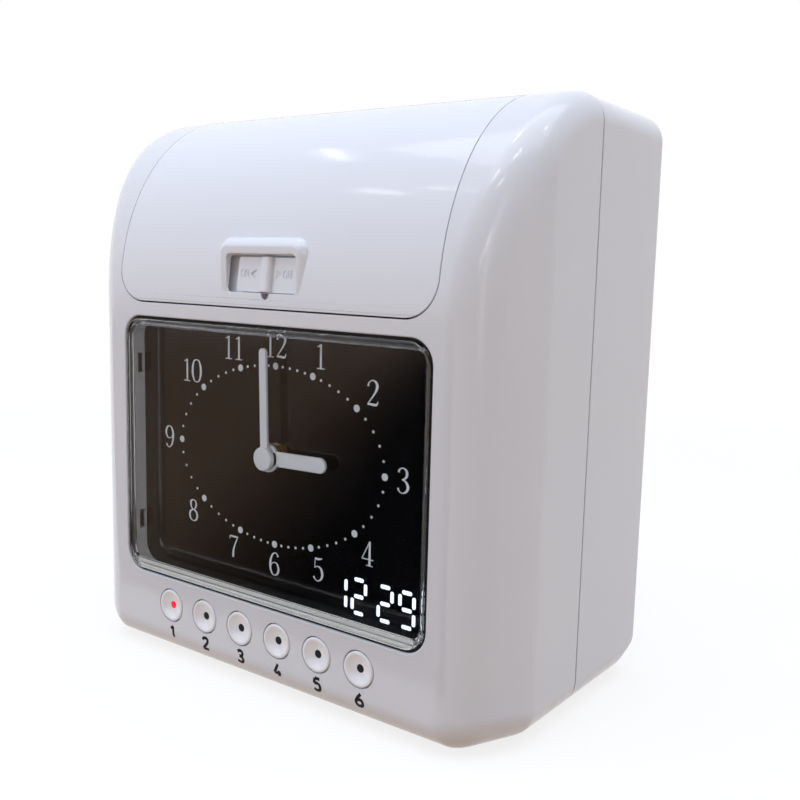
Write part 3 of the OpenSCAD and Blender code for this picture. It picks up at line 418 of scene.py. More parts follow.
# Nickel-plated print head: a little darker than steel.
head_metal = finish("nickel_plated", "#9C9A96", "#8D8B88", 0.3, cloud_mm=9, grain_mm=0.6, Metallic=1.0)
# Moulded nylon: milky white, waxy.
nylon = finish("nylon_moulded_natural", "#E4E0D4", "#DAD5C6", 0.42, cloud_mm=8, IOR=1.53)
# Enamelled copper wire, wound: reddish metal with a fine uneven relief.
copper = finish("copper_wire_wound", "#A8602F", "#8E4C22", 0.34, cloud_mm=3, grain_mm=0.4,
                grain_depth=0.08, Metallic=1.0)
# Solder mask over glass-epoxy: green and half gloss.
board_green = finish("glass_epoxy_green_mask", "#1F5A38", "#19492D", 0.36, cloud_mm=12, IOR=1.5)
# Epoxy-cased electronic parts: near black and matt.
parts_dark = finish("epoxy_moulded_dark", "#1A1A1C", "#232326", 0.5, IOR=1.55)
# Inked fabric ribbon: violet black and dull, with a cloth-like grain.
ribbon = finish("nylon_ribbon_inked", "#17131F", "#211A2C", 0.7, cloud_mm=5, grain_mm=0.7,
                grain_depth=0.06, IOR=1.5)
# Stacked core plates, varnished: dark grey with a brown cast.
core_plates = finish("core_steel_varnished", "#3A3633", "#2D2A28", 0.48, cloud_mm=4, grain_mm=0.6,
                     grain_depth=0.05, IOR=1.5)
# Shrink sleeve on cells: mid blue, glossy.
cell_wrap = finish("pvc_shrink_sleeve_blue", "#2F5E9C", "#28518A", 0.3, cloud_mm=10, IOR=1.53)
# Smoked epoxy lamp, unlit: nearly black.
lamp_smoke = finish("epoxy_cast_smoked", "#0A0A0B", "#101011", 0.4, cloud_mm=2, IOR=1.55,
                    Specular_IOR_Level=0.2)
# Red epoxy lamp, lit: a red body that glows all over.
lamp_red = finish("epoxy_cast_red_lit", "#B00E18", "#9C0A12", 0.3, cloud_mm=2, IOR=1.55,
                  Specular_IOR_Level=0.2, Emission_Color=tint("#FF0A2E"), Emission_Strength=1.1)
# Lit display segments: white light with a faint blue cast.
segment_light = finish("light_pipe_white_lit", "#F2F5FF", "#E8EEFF", 0.4, cloud_mm=2, IOR=1.5,
                       Emission_Color=tint("#E4EAFF"), Emission_Strength=1.1)
# Moulded acrylic: clear as water, sharp reflections, edges that gather light.
acrylic = finish("acrylic_moulded_clear", "#FFFFFF", "#FBFCFD", 0.02, grain_mm=30, grain_depth=0.002,
                 swing=0.01, IOR=1.49, Transmission_Weight=1.0)

SLOT_FINISH = {
    "case_white": case_abs, "lid_white": lid_abs, "trim_grey": frame_abs, "lens_clear": acrylic,
    "dial_black": dial_paint, "hand_grey": hand_paint, "movement_dark": movement_abs, "brass": brass,
    "steel": steel, "gear_nylon": nylon, "coil_copper": copper, "display_dark": dark_mould,
    "button_white": bright_abs, "lamp_red": lamp_red, "lamp_dark": lamp_smoke,
    "board_green": board_green, "parts_dark": parts_dark, "rubber": rubber, "sheet_steel": sheet,
    "head_metal": head_metal, "ribbon": ribbon, "core_dark": core_plates, "cell_wrap": cell_wrap,
}


def dress(piece, mat, body="root", replaces=()):
    piece.data.materials.clear()
    piece.data.materials.append(mat)
    for face in piece.data.polygons:
        face.material_index = 0
    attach(piece, body)
    if replaces:
        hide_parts(*replaces)
    return piece


for part in frame["record"]["subparts"]:
    node = frame["nodes"][part["node"]]
    node.data.materials.clear()
    node.data.materials.append(SLOT_FINISH[part["material_slot"]])


# ---- Case ----

def slant_in(y):
    """How far the sides stand in at a depth: a soft crease, then a slant that bends in."""
    ahead = FRONT + SLANT_BACK - y
    soft = 1.8
    if ahead <= -soft:
        return 0.0
    if ahead >= soft:
        return ahead * math.tan(CREASE) + SLANT_BEND * (ahead - soft) ** 2
    return (ahead + soft) ** 2 / (4 * soft) * math.tan(CREASE)


def corner_lift(x, y, z):
    """How far the underside rises at the slanted corners."""
    ahead = max(0.0, FRONT + SLANT_BACK - y)
    out = max(0.0, (abs(x) - CASE_HALF + BOTTOM_R) / BOTTOM_R)
    fade = max(0.0, 1 - (z - CASE_LOW) / CORNER_FADE)
    return CORNER_LIFT * out * fade * math.sin(math.pi * ahead / CORNER_RUN)


def front_form():
    """The front's outer skin: a roll, rounded edges and slanted corners, open at the seam."""
    stretch = ROLL_H / ROLL_DEPTH
    skin = block("front_form", (-CASE_HALF, CASE_HALF), (FRONT, FRONT + FORM_DEPTH * stretch),
                 (CASE_LOW, ROLL_Z + ROLL_H))
    round_over(skin, lambda e: at(e, 1, FRONT) and at(e, 2, ROLL_Z + ROLL_H), ROLL_H, 56)
    mark(skin, "FACE", lambda f: True)
    bpy.ops.transform.resize(value=(1, 1 / stretch, 1), center_override=(0, FRONT * MM, 0))
    settle()
    saw(skin, (0, SEAM, 0), (0, 1, 0))

    round_over(skin, lambda e: at(e, 2, CASE_LOW) and along(e, 1), BOTTOM_R, 10)

    def border(edge):
        if at(edge, 1, SEAM):
            return False
        if max(v.co.z for v in edge.verts) / MM < CASE_LOW + BOTTOM_R + 0.1:
            return at(edge, 1, FRONT)
        turns = sorted(abs(f.normal.x) for f in edge.link_faces)
        return turns[0] < 0.02 and turns[-1] > 0.98

    round_over(skin, border, EDGE_R, 9)
    for step in SLANT_CUTS:
        saw(skin, (0, FRONT + SLANT_BACK + step, 0), (0, 1, 0), cap=False, drop=False)
    mark(skin, "VERT", lambda v: True)
    mesh = bmesh.from_edit_mesh(skin.data)
    for vert in mesh.verts:
        vert.co.z += corner_lift(*(vert.co / MM)) * MM
        vert.co.x *= 1 - slant_in(vert.co.y / MM) / CASE_HALF
    bmesh.update_edit_mesh(skin.data)
    settle()
    return peel(skin, lambda f: f.normal.y > 0.99 and at(f, 1, SEAM))


def lid_outline(name, gap, low_gap):
    low = LID_LOW + low_gap
    tool = block(name, (-LID_HALF + gap, LID_HALF - gap), (FRONT - 10, LID_END - gap), (low, 300))
    return round_over(tool, lambda e: along(e, 1) and at(e, 2, low), LID_CORNER - gap, 14)


def front_shell():
    through = (FRONT - 5, FRONT + 6)
    shell = front_form()
    skin = twin(shell, "front_skin")
    hollow(shell, WALL)
    carve(shell, plate("lens_cut", LENS_HALF + LENS_GAP, LENS_LOW - LENS_LOW_GAP,
                       LENS_TOP + LENS_GAP, LENS_R + LENS_GAP, through, LENS_X))
    round_over(shell, lambda e: at(e, 1, FRONT) and e.calc_face_angle(0) > 1, 0.7, 3)
    carve(shell, lid_outline("lid_cut", 0, 0))
    for i in BUTTONS:
        carve(shell, rod("button_cut", BUTTON_R + 0.5, through, button_x(i), BUTTON_Z))
    carve(shell, cross_rod("barrel_cut", BARREL_R + 0.35, (-LID_HALF, LID_HALF), *HINGE))
    # Room for the lid's root when the lid stands open
    swing = block("swing_cut", (-LID_HALF, LID_HALF), (0, BARREL_R + 0.4), (0, 2 * BARREL_R))
    swing.rotation_euler = (math.pi - HINGE_LEAN - LID_SWING, 0, 0)
    swing.location = (0, HINGE[0] * MM, HINGE[1] * MM)
    carve(shell, set_down(swing))
    keep_flow(ease_cuts(shell, skin, 0.35), skin)
    half = LID_HALF - LID_CORNER
    lip = block("ledge_lip", (-half, half), (FRONT + 2.4, LEDGE_BACK), (LID_LOW - 4.0, LID_LOW - 2.3))
    rise = block("ledge_rise", (-half, half), (FRONT + 4.0, LEDGE_BACK), (LID_LOW - 2.6, LID_LOW + 2.6))
    carve(rise, block("hook_gap", HOOK_GAP, (FRONT, FRONT + 9), (LID_LOW, LID_LOW + 9)))
    extras = [lip, rise]
    for side in (-1, 1):
        ends = sorted((side * (LID_HALF + 0.35), side * (LID_HALF + 5.85)))
        extras.append(cross_rod("hinge_lug", LUG_R, ends, *HINGE))
        for z in BOSS_HEIGHTS:
            extras.append(rod("screw_boss", BOSS_R, (SEAM - 30, SEAM - 0.1), side * BOSS_X, z))
    for extra in extras:
        ease(extra, 0.25)
    return join("front_shell", shell, *extras)


dress(front_shell(), case_abs, "root", ["front_case"])


def lid_seal():
    """A black foam strip on the ledge: painted shade, which makes the gap under the lid dark."""
    half = LID_HALF - LID_CORNER
    return ease(block("lid_seal", (-half, half), (FRONT + 3.0, FRONT + 4.0),
                      (LID_LOW - 2.2, LID_LOW + 1.3)), 0.2)


dress(lid_seal(), painted_shade_foam)


def rear_shell():
    skin = block("rear_form", (-CASE_HALF, CASE_HALF), (SEAM + SEAM_GAP, BACK), (CASE_LOW, REAR_TOP))
    mark(skin, "EDGE", lambda e: at(e, 1, BACK) and at(e, 2, REAR_TOP))
    bpy.ops.transform.translate(value=(0, 0, -REAR_DROP * MM))
    saw(skin, (0, BACK - LIFT_RUN, 0), (0, 1, 0), cap=False, drop=False)
    mark(skin, "EDGE", lambda e: at(e, 1, BACK) and at(e, 2, CASE_LOW))
    bpy.ops.transform.translate(value=(0, 0, REAR_LIFT * MM))

    def side_edges(edge):
        turns = sorted(abs(f.normal.x) for f in edge.link_faces)
        at_end = at(edge, 1, BACK) or at(edge, 1, SEAM + SEAM_GAP)
        return turns[0] < 0.1 and turns[-1] > 0.9 and not at_end

    def back_rim(edge):
        return at(edge, 1, BACK) and min(f.normal.y for f in edge.link_faces) < 0.7

    round_over(skin, lambda e: side_edges(e) and e.verts[0].co.z > 0.1, EDGE_R, 9)
    round_over(skin, lambda e: side_edges(e) and e.verts[0].co.z < 0.1, BOTTOM_R, 10)
    round_over(skin, back_rim, BACK_R, 7)
    peel(skin, lambda f: f.normal.y < -0.99)
    shell = hollow(twin(skin, "rear_shell"), WALL)
    through = (BACK - 8, BACK + 5)
    carve(shell, block("bezel_cut", (-BEZEL_HALF - BEZEL_FIT, BEZEL_HALF + BEZEL_FIT),
                       (BEZEL_Y[0] - BEZEL_FIT, BEZEL_Y[1] + BEZEL_FIT),
                       (CASE_TOP - 13, CASE_TOP + 11)))
    for side in (-1, 1):
        keyhole = rod("keyhole_cut", KEY_R, through, side * KEY_X, KEY_Z, 40)
        key_slot = plate("key_slot", KEY_R / 2, KEY_Z, KEY_TOP, 2.2, through, side * KEY_X, 6)
        carve(keyhole, key_slot, how="UNION")
        carve(shell, keyhole)
        for z in BOSS_HEIGHTS:
            carve(shell, rod("screw_cut", SCREW_R, SCREW_BORE, side * BOSS_X, z, 32))
        for i in range(6):
            x = side * VENT_X + (i - 2.5) * VENT_PITCH
            carve(shell, plate("vent_cut", 1.5, VENT_LOW, VENT_TOP, 1.45, through, x, 5))
    carve(shell, block("inlet_cut", INLET_X, through, INLET_Z))
    keep_flow(ease_cuts(shell, skin, 0.45), skin)
    tubes = []
    for side in (-1, 1):
        for z in BOSS_HEIGHTS:
            tube = rod("screw_boss", BOSS_R, (SEAM, BACK - 2), side * BOSS_X, z)
            carve(tube, rod("screw_bore", SCREW_R, SCREW_BORE, side * BOSS_X, z, 32))
            tubes.append(smooth(tube))
    return join("rear_shell", shell, *tubes)


dress(rear_shell(), case_abs, "root", ["rear_case"])


# ---- Lid and its lock slide ----

def slot_cut(grow=0.0):
    half, high = SLOT_W / 2 + grow, SLOT_H / 2 + grow
    return onto_lid(plate("slot_cut", half, -high, high, 2.0, (-8, 8), SLOT_X))


def slide_pocket():
    """Room behind the opening's left edge, which the slide moves into."""
    half = SLOT_H / 2 - 0.1
    return onto_lid(block("slide_pocket", (SLIDE_X - SLIDE_W / 2 - 8, SLOT_X), (0.8, 8), (-half, half)))


def rib_notch():
    return rod("rib_notch", 2.0, (FRONT - 6, FRONT + 6), RIB_X, SLOT_Z - SLOT_H / 2 - 0.5, 32)


def slot_hood():
    """A brow round the slide's opening: it stands out at the top and ends in the lid below."""
    face_y, back_y = FRONT - 0.6, FRONT + 2.2
    hood = block("hood", (SLOT_X - SLOT_W / 2 - 7.0, SLOT_X + SLOT_W / 2 + 5.2), (face_y, back_y),
                 (HOOD_LOW, HOOD_TOP))
    for edge_y, edge_z, shift in ((back_y, HOOD_TOP, 3.8), (face_y, HOOD_LOW, 0.8)):
        mark(hood, "EDGE", lambda e: at(e, 1, edge_y) and at(e, 2, edge_z))
        bpy.ops.transform.translate(value=(0, shift * MM, 0))
        settle()

    def upright(edge):
        line = edge.verts[1].co - edge.verts[0].co
        return at(edge, 2, HOOD_TOP) and abs(line.normalized().y) > 0.9

    round_over(hood, upright, 7.0, 9)

    def brow(edge):
        turns = sorted(f.normal.y for f in edge.link_faces)
        return turns[0] < -0.9 and turns[-1] > -0.5 and not at(edge, 2, HOOD_LOW)

    round_over(hood, brow, 3.8, 9, 0.36)
    carve(hood, slot_cut(0.15), slide_pocket(), rib_notch())
    return ease(hood, 0.45, steps=3)


def lid_shell():
    shell = front_form()
    skin = twin(shell, "lid_skin")
    hollow(shell, LID_T)
    carve(shell, lid_outline("lid_keep", LID_GAP, LID_LOW_GAP), how="INTERSECT")
    carve(shell, slot_cut(), slide_pocket(), rib_notch())
    keep_flow(ease_cuts(shell, skin, 0.3), skin)
    barrel = cross_rod("barrel", BARREL_R, (-LID_HALF + LID_GAP, LID_HALF - LID_GAP), *HINGE)
    ease(barrel, 0.5)
    return join("lid_shell", shell, slot_hood(), barrel)


dress(lid_shell(), lid_abs, "lid", ["top_lid"])


def letters(name, words, size, x, z, y, thick, bold=0.0, narrow=1.0):
    """Words that face the front, as a mesh."""
    settle()
    bpy.ops.object.text_add(location=(0, 0, 0))
    text = bpy.context.object
    text.data.body = words
    text.data.size = size * MM
    text.data.align_x = "CENTER"
    text.data.align_y = "CENTER"
    text.data.offset = bold * MM
    text.data.extrude = thick * MM
    text.data.resolution_u = 6
    bpy.ops.object.convert(target="MESH")
    piece = bpy.context.object
    piece.name = name
    piece.rotation_euler = (math.pi / 2, 0, 0)
    piece.location = (x * MM, y * MM, z * MM)
    piece.scale = (narrow, 1, 1)
    mark(set_down(piece), "VERT", lambda v: True)
    bpy.ops.mesh.remove_doubles(threshold=1e-6)
    bpy.ops.mesh.normals_make_consistent(inside=False)
    settle()
    return piece


def arrow_cut(way, x):
    """A sunk arrow head, deepest at its tip: way is -1 for one that points left, 1 for right."""
    cut = rod("arrow_cut", 3.0, (-0.7, 0), 0, 0, 3)
    mark(cut, "FACE", lambda f: f.normal.y > 0.9)
    bpy.ops.transform.resize(value=(0.45, 1, 0.45))
    settle()
    tip = max(cut.data.vertices, key=lambda v: v.co.length).co
    cut.rotation_euler = (0, math.atan2(tip.z, tip.x) - (math.pi if way < 0 else 0), 0)
    set_down(cut)
    cut.rotation_euler = (0, 0, way * 0.11)
    cut.location = (x * MM, 1.5 * MM, 0)
    return set_down(cut)


def slide_plate():
    low, top = -SLOT_H / 2 + 0.25, SLOT_H / 2 - 0.65
    face = plate("slide_face", SLIDE_W / 2, low, top, 1.5, (1.0, 3.5), SLIDE_X, 5)
    round_over(face, lambda e: at(e, 1, 1.0), 0.35, 3)
    carve(face, letters("mark_on", "ON", 5.0, -9.2, 0, 1.0, 0.3, 0.04, 0.62),
          letters("mark_off", "OFF", 4.8, 14.8, 0, 1.0, 0.3, 0.04, 0.66),
          arrow_cut(-1, -3.6), arrow_cut(1, 9.2))
    rib = block("slide_rib", (RIB_X - RIB_W / 2, RIB_X + RIB_W / 2), (-1.2, 1.2), (low, top))
    round_over(rib, lambda e: along(e, 2) and at(e, 1, -1.2), 1.9, 7)
    round_over(rib, lambda e: (at(e, 2, low) or at(e, 2, top)) and not at(e, 1, 1.2), 0.5, 3)
    flange = block("slide_flange", (SLIDE_X - SLIDE_W / 2 - 9, SLIDE_X + SLIDE_W / 2 + 4), (3.5, 4.8),
                   (-SLOT_H / 2 - 1.7, SLOT_H / 2 + 1.7))
    hook = block("slide_hook", HOOK_X, (3.1, 8.0), (-SLOT_H / 2 - 1.7, -SLOT_H / 2))
    toe = block("slide_toe", HOOK_X, (6.8, 8.3), (-12.0, -SLOT_H / 2))
    for piece in (face, rib):
        smooth(piece)
    for piece in (flange, hook, toe):
        ease(piece, 0.2)
    return onto_lid(join("slide_plate", face, rib, flange, hook, toe))


dress(slide_plate(), lid_abs, "slide", ["lock_slide"])


# ---- Window and dial ----

def lens_window():
    face_y = FRONT - 0.8
    lens = plate("lens_window", LENS_HALF, LENS_LOW, LENS_TOP, LENS_R, (face_y, LENS_BACK), LENS_X)
    round_over(lens, lambda e: at(e, 1, face_y), 1.0, 4)
    carve(lens, plate("lens_pocket", LENS_HALF - 1.7, LENS_LOW + 4.2, LENS_TOP - 3, 4.5,
                      (face_y + 2.5, FRONT + 20), LENS_X - 0.3),
          block("seat_step", (-90, 90), (SEAT_Y, FRONT + 20), (LENS_LOW - 5, LENS_LOW + 4.4)))
    return ease(lens, 0.25)


dress(lens_window(), acrylic, "root", ["window_lens"])


# A black foam ring behind the window's edge: painted shade, for the dark gap round the window.
def lens_gasket():
    ring = plate("lens_gasket", LENS_HALF + 1.6, LENS_LOW - 1.8, LENS_TOP + 1.6, LENS_R + 1.6,
                 (FRONT + 1.0, FRONT + 2.6), LENS_X)
    carve(ring, plate("shade_ring_cut", LENS_HALF + 0.05, LENS_LOW - 0.05, LENS_TOP + 0.05, LENS_R,
                      (FRONT - 5, FRONT + 9), LENS_X))
    return ease(ring, 0.2)


dress(lens_gasket(), painted_shade_foam)


def lens_seat():
    """Two pale strips behind the window's lower rim, which the clear rim carries to the front."""
    strips = []
    for low, top in ((0.1, 1.7), (2.2, 4.2)):
        strips.append(block("seat_strip", (LENS_X - LENS_HALF + 5, LENS_X + LENS_HALF - 5),
                            (SEAT_Y + 0.05, SEAT_Y + 0.6), (LENS_LOW + low, LENS_LOW + top)))
        ease(strips[-1], 0.12)
    return join("lens_seat", *strips)


dress(lens_seat(), seat_tape)


def clock_point(minute):
    """Where a minute's dot stands on the oval of dots."""
    turn = math.radians(minute * 6)
    reach = 1 / math.hypot(math.sin(turn) / DOTS_X, math.cos(turn) / DOTS_Z)
    return reach * math.sin(turn), reach * math.cos(turn)


def dial_dots():
    ink = (DIAL_Y - 0.12, DIAL_Y + 0.1)
    hour = rod("hour_dot", 1.5, ink, 0, 0, 24)
    minute = rod("minute_dot", 0.58, ink, 0, 0, 14)
    for dot in (hour, minute):
        round_over(dot, lambda e: at(e, 1, ink[0]), 0.06, 1)
    dots = []
    for m in range(60):
        dot = twin(minute if m % 5 else hour, "dial_dot")
        x, z = clock_point(m)
        dot.location = (x * MM, 0, (DIAL_Z + z) * MM)
        dots.append(set_down(dot))
    for dot in (hour, minute):
        bpy.data.objects.remove(dot)
    return smooth(join("dial_dots", *dots))


dress(dial_dots(), dial_ink)

# Strokes of the serif numerals in a cell 1 high: points with half the stroke's width
STROKES = {
    "0": [[(.3, 1.0, .02), (.46, .93, .04), (.55, .7, .06), (.57, .5, .065), (.55, .3, .06),
           (.46, .07, .04), (.3, .0, .02), (.14, .07, .04), (.05, .3, .06), (.03, .5, .065),
           (.05, .7, .06), (.14, .93, .04), (.3, 1.0, .02)]],
    "1": [[(.3, .99, .05), (.3, .5, .055), (.3, .01, .055)],
          [(.1, .012, .018), (.3, .012, .022), (.5, .012, .018)],
          [(.3, .98, .03), (.2, .91, .025), (.11, .88, .014)]],
    "2": [[(.08, .75, .052), (.1, .86, .03), (.2, .96, .02), (.32, .985, .025), (.46, .92, .05),
           (.52, .77, .065), (.47, .6, .052), (.34, .4, .034), (.18, .2, .024), (.06, .05, .02)],
          [(.06, .045, .03), (.2, .055, .045), (.4, .04, .05), (.51, .06, .04), (.57, .2, .014)]],
    "3": [[(.09, .8, .05), (.13, .91, .03), (.28, .985, .02), (.43, .92, .045), (.49, .77, .06),
           (.42, .61, .04), (.25, .53, .018)],
          [(.25, .53, .018), (.44, .46, .042), (.54, .27, .065), (.47, .09, .045), (.28, .005, .02),
           (.12, .07, .03), (.07, .18, .052)]],
    "4": [[(.41, 1.0, .02), (.22, .63, .02), (.03, .27, .02)],
          [(.02, .265, .022), (.3, .265, .022), (.6, .265, .022)],
          [(.41, 1.0, .045), (.41, .5, .055), (.41, .02, .055)],
          [(.24, .012, .017), (.41, .012, .02), (.58, .012, .017)]],
    "5": [[(.13, .95, .035), (.3, .94, .045), (.51, .99, .02)],
          [(.14, .96, .02), (.125, .76, .02), (.11, .55, .02)],
          [(.11, .55, .018), (.28, .63, .022), (.45, .55, .05), (.53, .33, .065), (.46, .11, .045),
           (.28, .005, .02), (.12, .07, .03), (.07, .17, .052)]],
    "6": [[(.51, .84, .05), (.44, .95, .028), (.32, .99, .02), (.16, .86, .042), (.06, .55, .06),
           (.07, .25, .058), (.18, .05, .034), (.31, .005, .02), (.46, .08, .045), (.54, .28, .06),
           (.47, .49, .042), (.32, .57, .018), (.16, .5, .022), (.08, .38, .03)]],
    "7": [[(.05, .8, .014), (.09, .95, .035), (.3, .95, .045), (.56, .96, .03)],
          [(.55, .96, .02), (.4, .66, .034), (.29, .36, .052), (.26, .02, .06)]],
    "8": [[(.3, .99, .02), (.44, .92, .045), (.48, .77, .055), (.43, .62, .045), (.3, .53, .02),
           (.17, .62, .045), (.12, .77, .055), (.16, .92, .045), (.3, .99, .02)],
          [(.3, .53, .02), (.48, .44, .05), (.55, .26, .062), (.48, .08, .045), (.3, .005, .02),
           (.12, .08, .045), (.05, .26, .062), (.12, .44, .05), (.3, .53, .02)]],
}
STROKES["9"] = [[(0.60 - x, 1 - y, w) for x, y, w in stroke] for stroke in STROKES["6"]]
NUMERAL_H = 10.0
NUMERAL_AT = {12: (0, 46.8), 1: (24.8, 44.1), 2: (51.5, 32.1), 3: (67.0, 0), 4: (50.5, -32.0),
              5: (24.8, -44.0), 6: (0, -46.8), 7: (-24.8, -44.0), 8: (-51.0, -32.0), 9: (-67.0, 0),
              10: (-51.5, 32.1), 11: (-24.8, 44.1)}


def stroke_line(points, steps=6):
    """Points along a smooth line through the given ones."""
    line = []
    for i in range(len(points) - 1):
        p0, p1 = points[max(i - 1, 0)], points[i]
        p2, p3 = points[i + 1], points[min(i + 2, len(points) - 1)]
        for k in range(steps):
            t = k / steps
            line.append([0.5 * (2 * b + (c - a) * t + (2 * a - 5 * b + 4 * c - d) * t * t
                                + (3 * b - a - 3 * c + d) * t ** 3)
                         for a, b, c, d in zip(p0, p1, p2, p3)])
    return line + [list(points[-1])]


def pen_mesh(name, cells, height):
    """Numbers drawn at the origin with a pen that swells and thins: each cell's strokes, placed."""
    pen = bpy.data.curves.new(name, "CURVE")
    pen.dimensions = "3D"
    pen.bevel_depth = MM
    pen.bevel_resolution = 2
    pen.use_fill_caps = True
    for strokes, shift in cells:
        for stroke in strokes:
            line = stroke_line(stroke)
            path = pen.splines.new("POLY")
            path.points.add(len(line) - 1)
            for point, (x, z, width) in zip(path.points, line):
                point.co = ((x + shift) * height * MM, 0, (z - 0.5) * height * MM, 1)
                point.radius = max(width, 0.012) * height
    settle()
    piece = bpy.data.objects.new(name, pen)
    bpy.context.collection.objects.link(piece)
    take(piece)
    bpy.ops.object.convert(target="MESH")
    return bpy.context.object


def numeral(value):
    """One printed numeral, pressed flat onto the dial."""
    digits = str(value)
    middle = (len(digits) - 1) / 2
    cells = [(STROKES[digit], (i - middle) * 0.62 - 0.30) for i, digit in enumerate(digits)]
    piece = pen_mesh("numeral", cells, NUMERAL_H)
    x, z = NUMERAL_AT[value]
    piece.scale = (1, 0.12, 1)
    piece.location = (x * MM, DIAL_Y * MM, (DIAL_Z + z) * MM)
    return set_down(piece)


def dial_numerals():
    return smooth(join("dial_numerals", *[numeral(value) for value in range(1, 13)]), 60)


dress(dial_numerals(), dial_ink)


def pointer(name, length, width, hub, y, cap):
    """A hand that points up: a bar with round ends and eased edges, and its hub."""
    bar = plate(name, width / 2, -0.5, length, width / 2 - 0.02, (y - HAND_T, y), steps=8)
    round_over(bar, lambda e: at(e, 1, y - HAND_T), 0.45, 3)
    boss = rod("hub", hub, (y - HAND_T - cap, y), 0, 0, 72)
    round_over(boss, lambda e: at(e, 1, y - HAND_T - cap), 0.5, 3)
    for piece in (bar, boss):
        smooth(piece)
    return join(name, bar, boss)


def set_pointer(piece, turn):
    piece.rotation_euler = (0, math.radians(turn), 0)
    piece.location = (0, 0, DIAL_Z * MM)
    return set_down(piece)


dress(set_pointer(pointer("hour_pointer", 32, 6.3, 6.0, HOUR_Y, 0.0), 88.4),
      hand_paint, "hour", ["hour_hand"])
dress(set_pointer(pointer("minute_pointer", 46, 4.0, 5.0, MINUTE_Y, 1.0), -1.5),
      hand_paint, "minute", ["minute_hand"])


# ---- Lit display ----

SEGMENTS = {"1": "bc", "2": "abged", "9": "abcdfg"}
DIGIT_X = [("1", 36.5), ("2", 46.6), ("2", 59.85), ("9", 70.4)]
DIGIT_Z, DIGIT_HALF_W, DIGIT_HALF_H = 49.8, 3.35, 6.95


def display_digits():
    bar = block("segment", (-2.35, 2.35), (DIAL_Y - 0.15, DIAL_Y + 0.1), (-0.82, 0.82))
    round_over(bar, lambda e: along(e, 1), 0.68, 3)
    round_over(bar, lambda e: at(e, 1, DIAL_Y - 0.15), 0.08, 1)
    spots = {"a": (0, 1, 0), "g": (0, 0, 0), "d": (0, -1, 0), "f": (-1, 0.5, 90),
             "b": (1, 0.5, 90), "e": (-1, -0.5, 90), "c": (1, -0.5, 90)}
    lit = []
    for digit, x in DIGIT_X:
        for name in SEGMENTS[digit]:
            dx, dz, turn = spots[name]
            segment = twin(bar, "segment_lit")
            segment.rotation_euler = (0, math.radians(turn), 0)
            segment.location = ((x + dx * DIGIT_HALF_W) * MM, 0, (DIGIT_Z + dz * DIGIT_HALF_H) * MM)
            lit.append(set_down(segment))
    bpy.data.objects.remove(bar)
    return smooth(join("display_digits", *lit))


dress(display_digits(), segment_light, "root")


# ---- Buttons, lamps and numbers ----

def button_cap():
    """A dished round button at the origin, with a hole for its lamp, a flange and a stem."""
    face_y = FRONT - 0.15
    cap = rod("button_cap", BUTTON_R, (face_y, BUTTON_BACK), 0, 0, 72)
    round_over(cap, lambda e: at(e, 1, face_y), 0.5, 3)
    mark(cap, "FACE", lambda f: f.normal.y < -0.99)
    bpy.ops.mesh.inset(thickness=0.6 * MM)
    rim = BUTTON_R - 1.0
    depth, radius = 0.0, rim
    for r in (5.9, 5.4, 4.8, 4.0, 3.2, 2.5, 1.85):
        now = BUTTON_DISH * (1 - (r / rim) ** 2)
        bpy.ops.mesh.inset(thickness=(radius - r) * MM, depth=(depth - now) * MM)
        depth, radius = now, r
    bpy.ops.mesh.inset(thickness=0.02 * MM, depth=-1.6 * MM)
    settle()
    smooth(cap, 30)
    flange = rod("button_flange", BUTTON_R + 1.6, (BUTTON_BACK, BUTTON_BACK + 1.7), 0, 0, 48)
    stem = rod("button_stem", 1.5, (BUTTON_BACK + 1.69, BUTTON_BACK + 3.3), 0, -4.0, 24)
    for piece in (flange, stem):
        ease(piece, 0.2)
    return join("button_cap", cap, flange, stem)


def lamp_bulb():
    bulb = rod("lamp_bulb", 1.78, (FRONT + 1.2, FRONT + 6), 0, 0, 32)
    round_over(bulb, lambda e: at(e, 1, FRONT + 1.2), 0.5, 4)
    return smooth(bulb)


def place(piece, i):
    piece.location = (button_x(i) * MM, 0, BUTTON_Z * MM)
    return set_down(piece)


first_cap, first_bulb = button_cap(), lamp_bulb()
for i in BUTTONS:
    dress(place(twin(first_cap, f"button_cap_{i}"), i),
          bright_abs, f"button_{i}", [f"button_{i}"])
dress(place(twin(first_bulb, "lamp_lit"), 1), lamp_red, "root", ["button_lamp_lit"])
dress(join("lamps_dark", *[place(twin(first_bulb, "lamp_dark"), i) for i in BUTTONS[1:]]),
      lamp_smoke, "root", ["button_lamps_dark"])
for spare in (first_cap, first_bulb):
    bpy.data.objects.remove(spare)


# Strokes of the plain numbers under the buttons, in a cell 1 high
PLAIN = {
    "1": [[(.14, .76), (.25, .86), (.36, .97)], [(.36, .97), (.36, .5), (.36, .03)]],
    "2": [[(.06, .76), (.12, .91), (.29, .97), (.46, .9), (.51, .74), (.43, .54), (.24, .29),
           (.05, .04)],
          [(.05, .04), (.3, .04), (.55, .04)]],
    "3": [[(.06, .86), (.24, .97), (.43, .92), (.5, .76), (.42, .6), (.22, .54)],
          [(.22, .54), (.45, .47), (.54, .28), (.45, .09), (.25, .03), (.04, .13)]],
    "4": [[(.33, .97), (.19, .61), (.04, .26)], [(.04, .26), (.3, .26), (.58, .26)],
          [(.42, .48), (.42, .26), (.42, .03)]],
    "5": [[(.5, .96), (.3, .96), (.13, .96)], [(.13, .96), (.1, .76), (.08, .55)],
          [(.08, .55), (.28, .61), (.47, .52), (.54, .31), (.45, .09), (.25, .03), (.05, .12)]],
    "6": [[(.4, .97), (.22, .72), (.09, .46), (.05, .28), (.13, .09), (.3, .03), (.47, .09), (.55, .29),
           (.47, .48), (.31, .54), (.15, .48), (.07, .36)]],
}


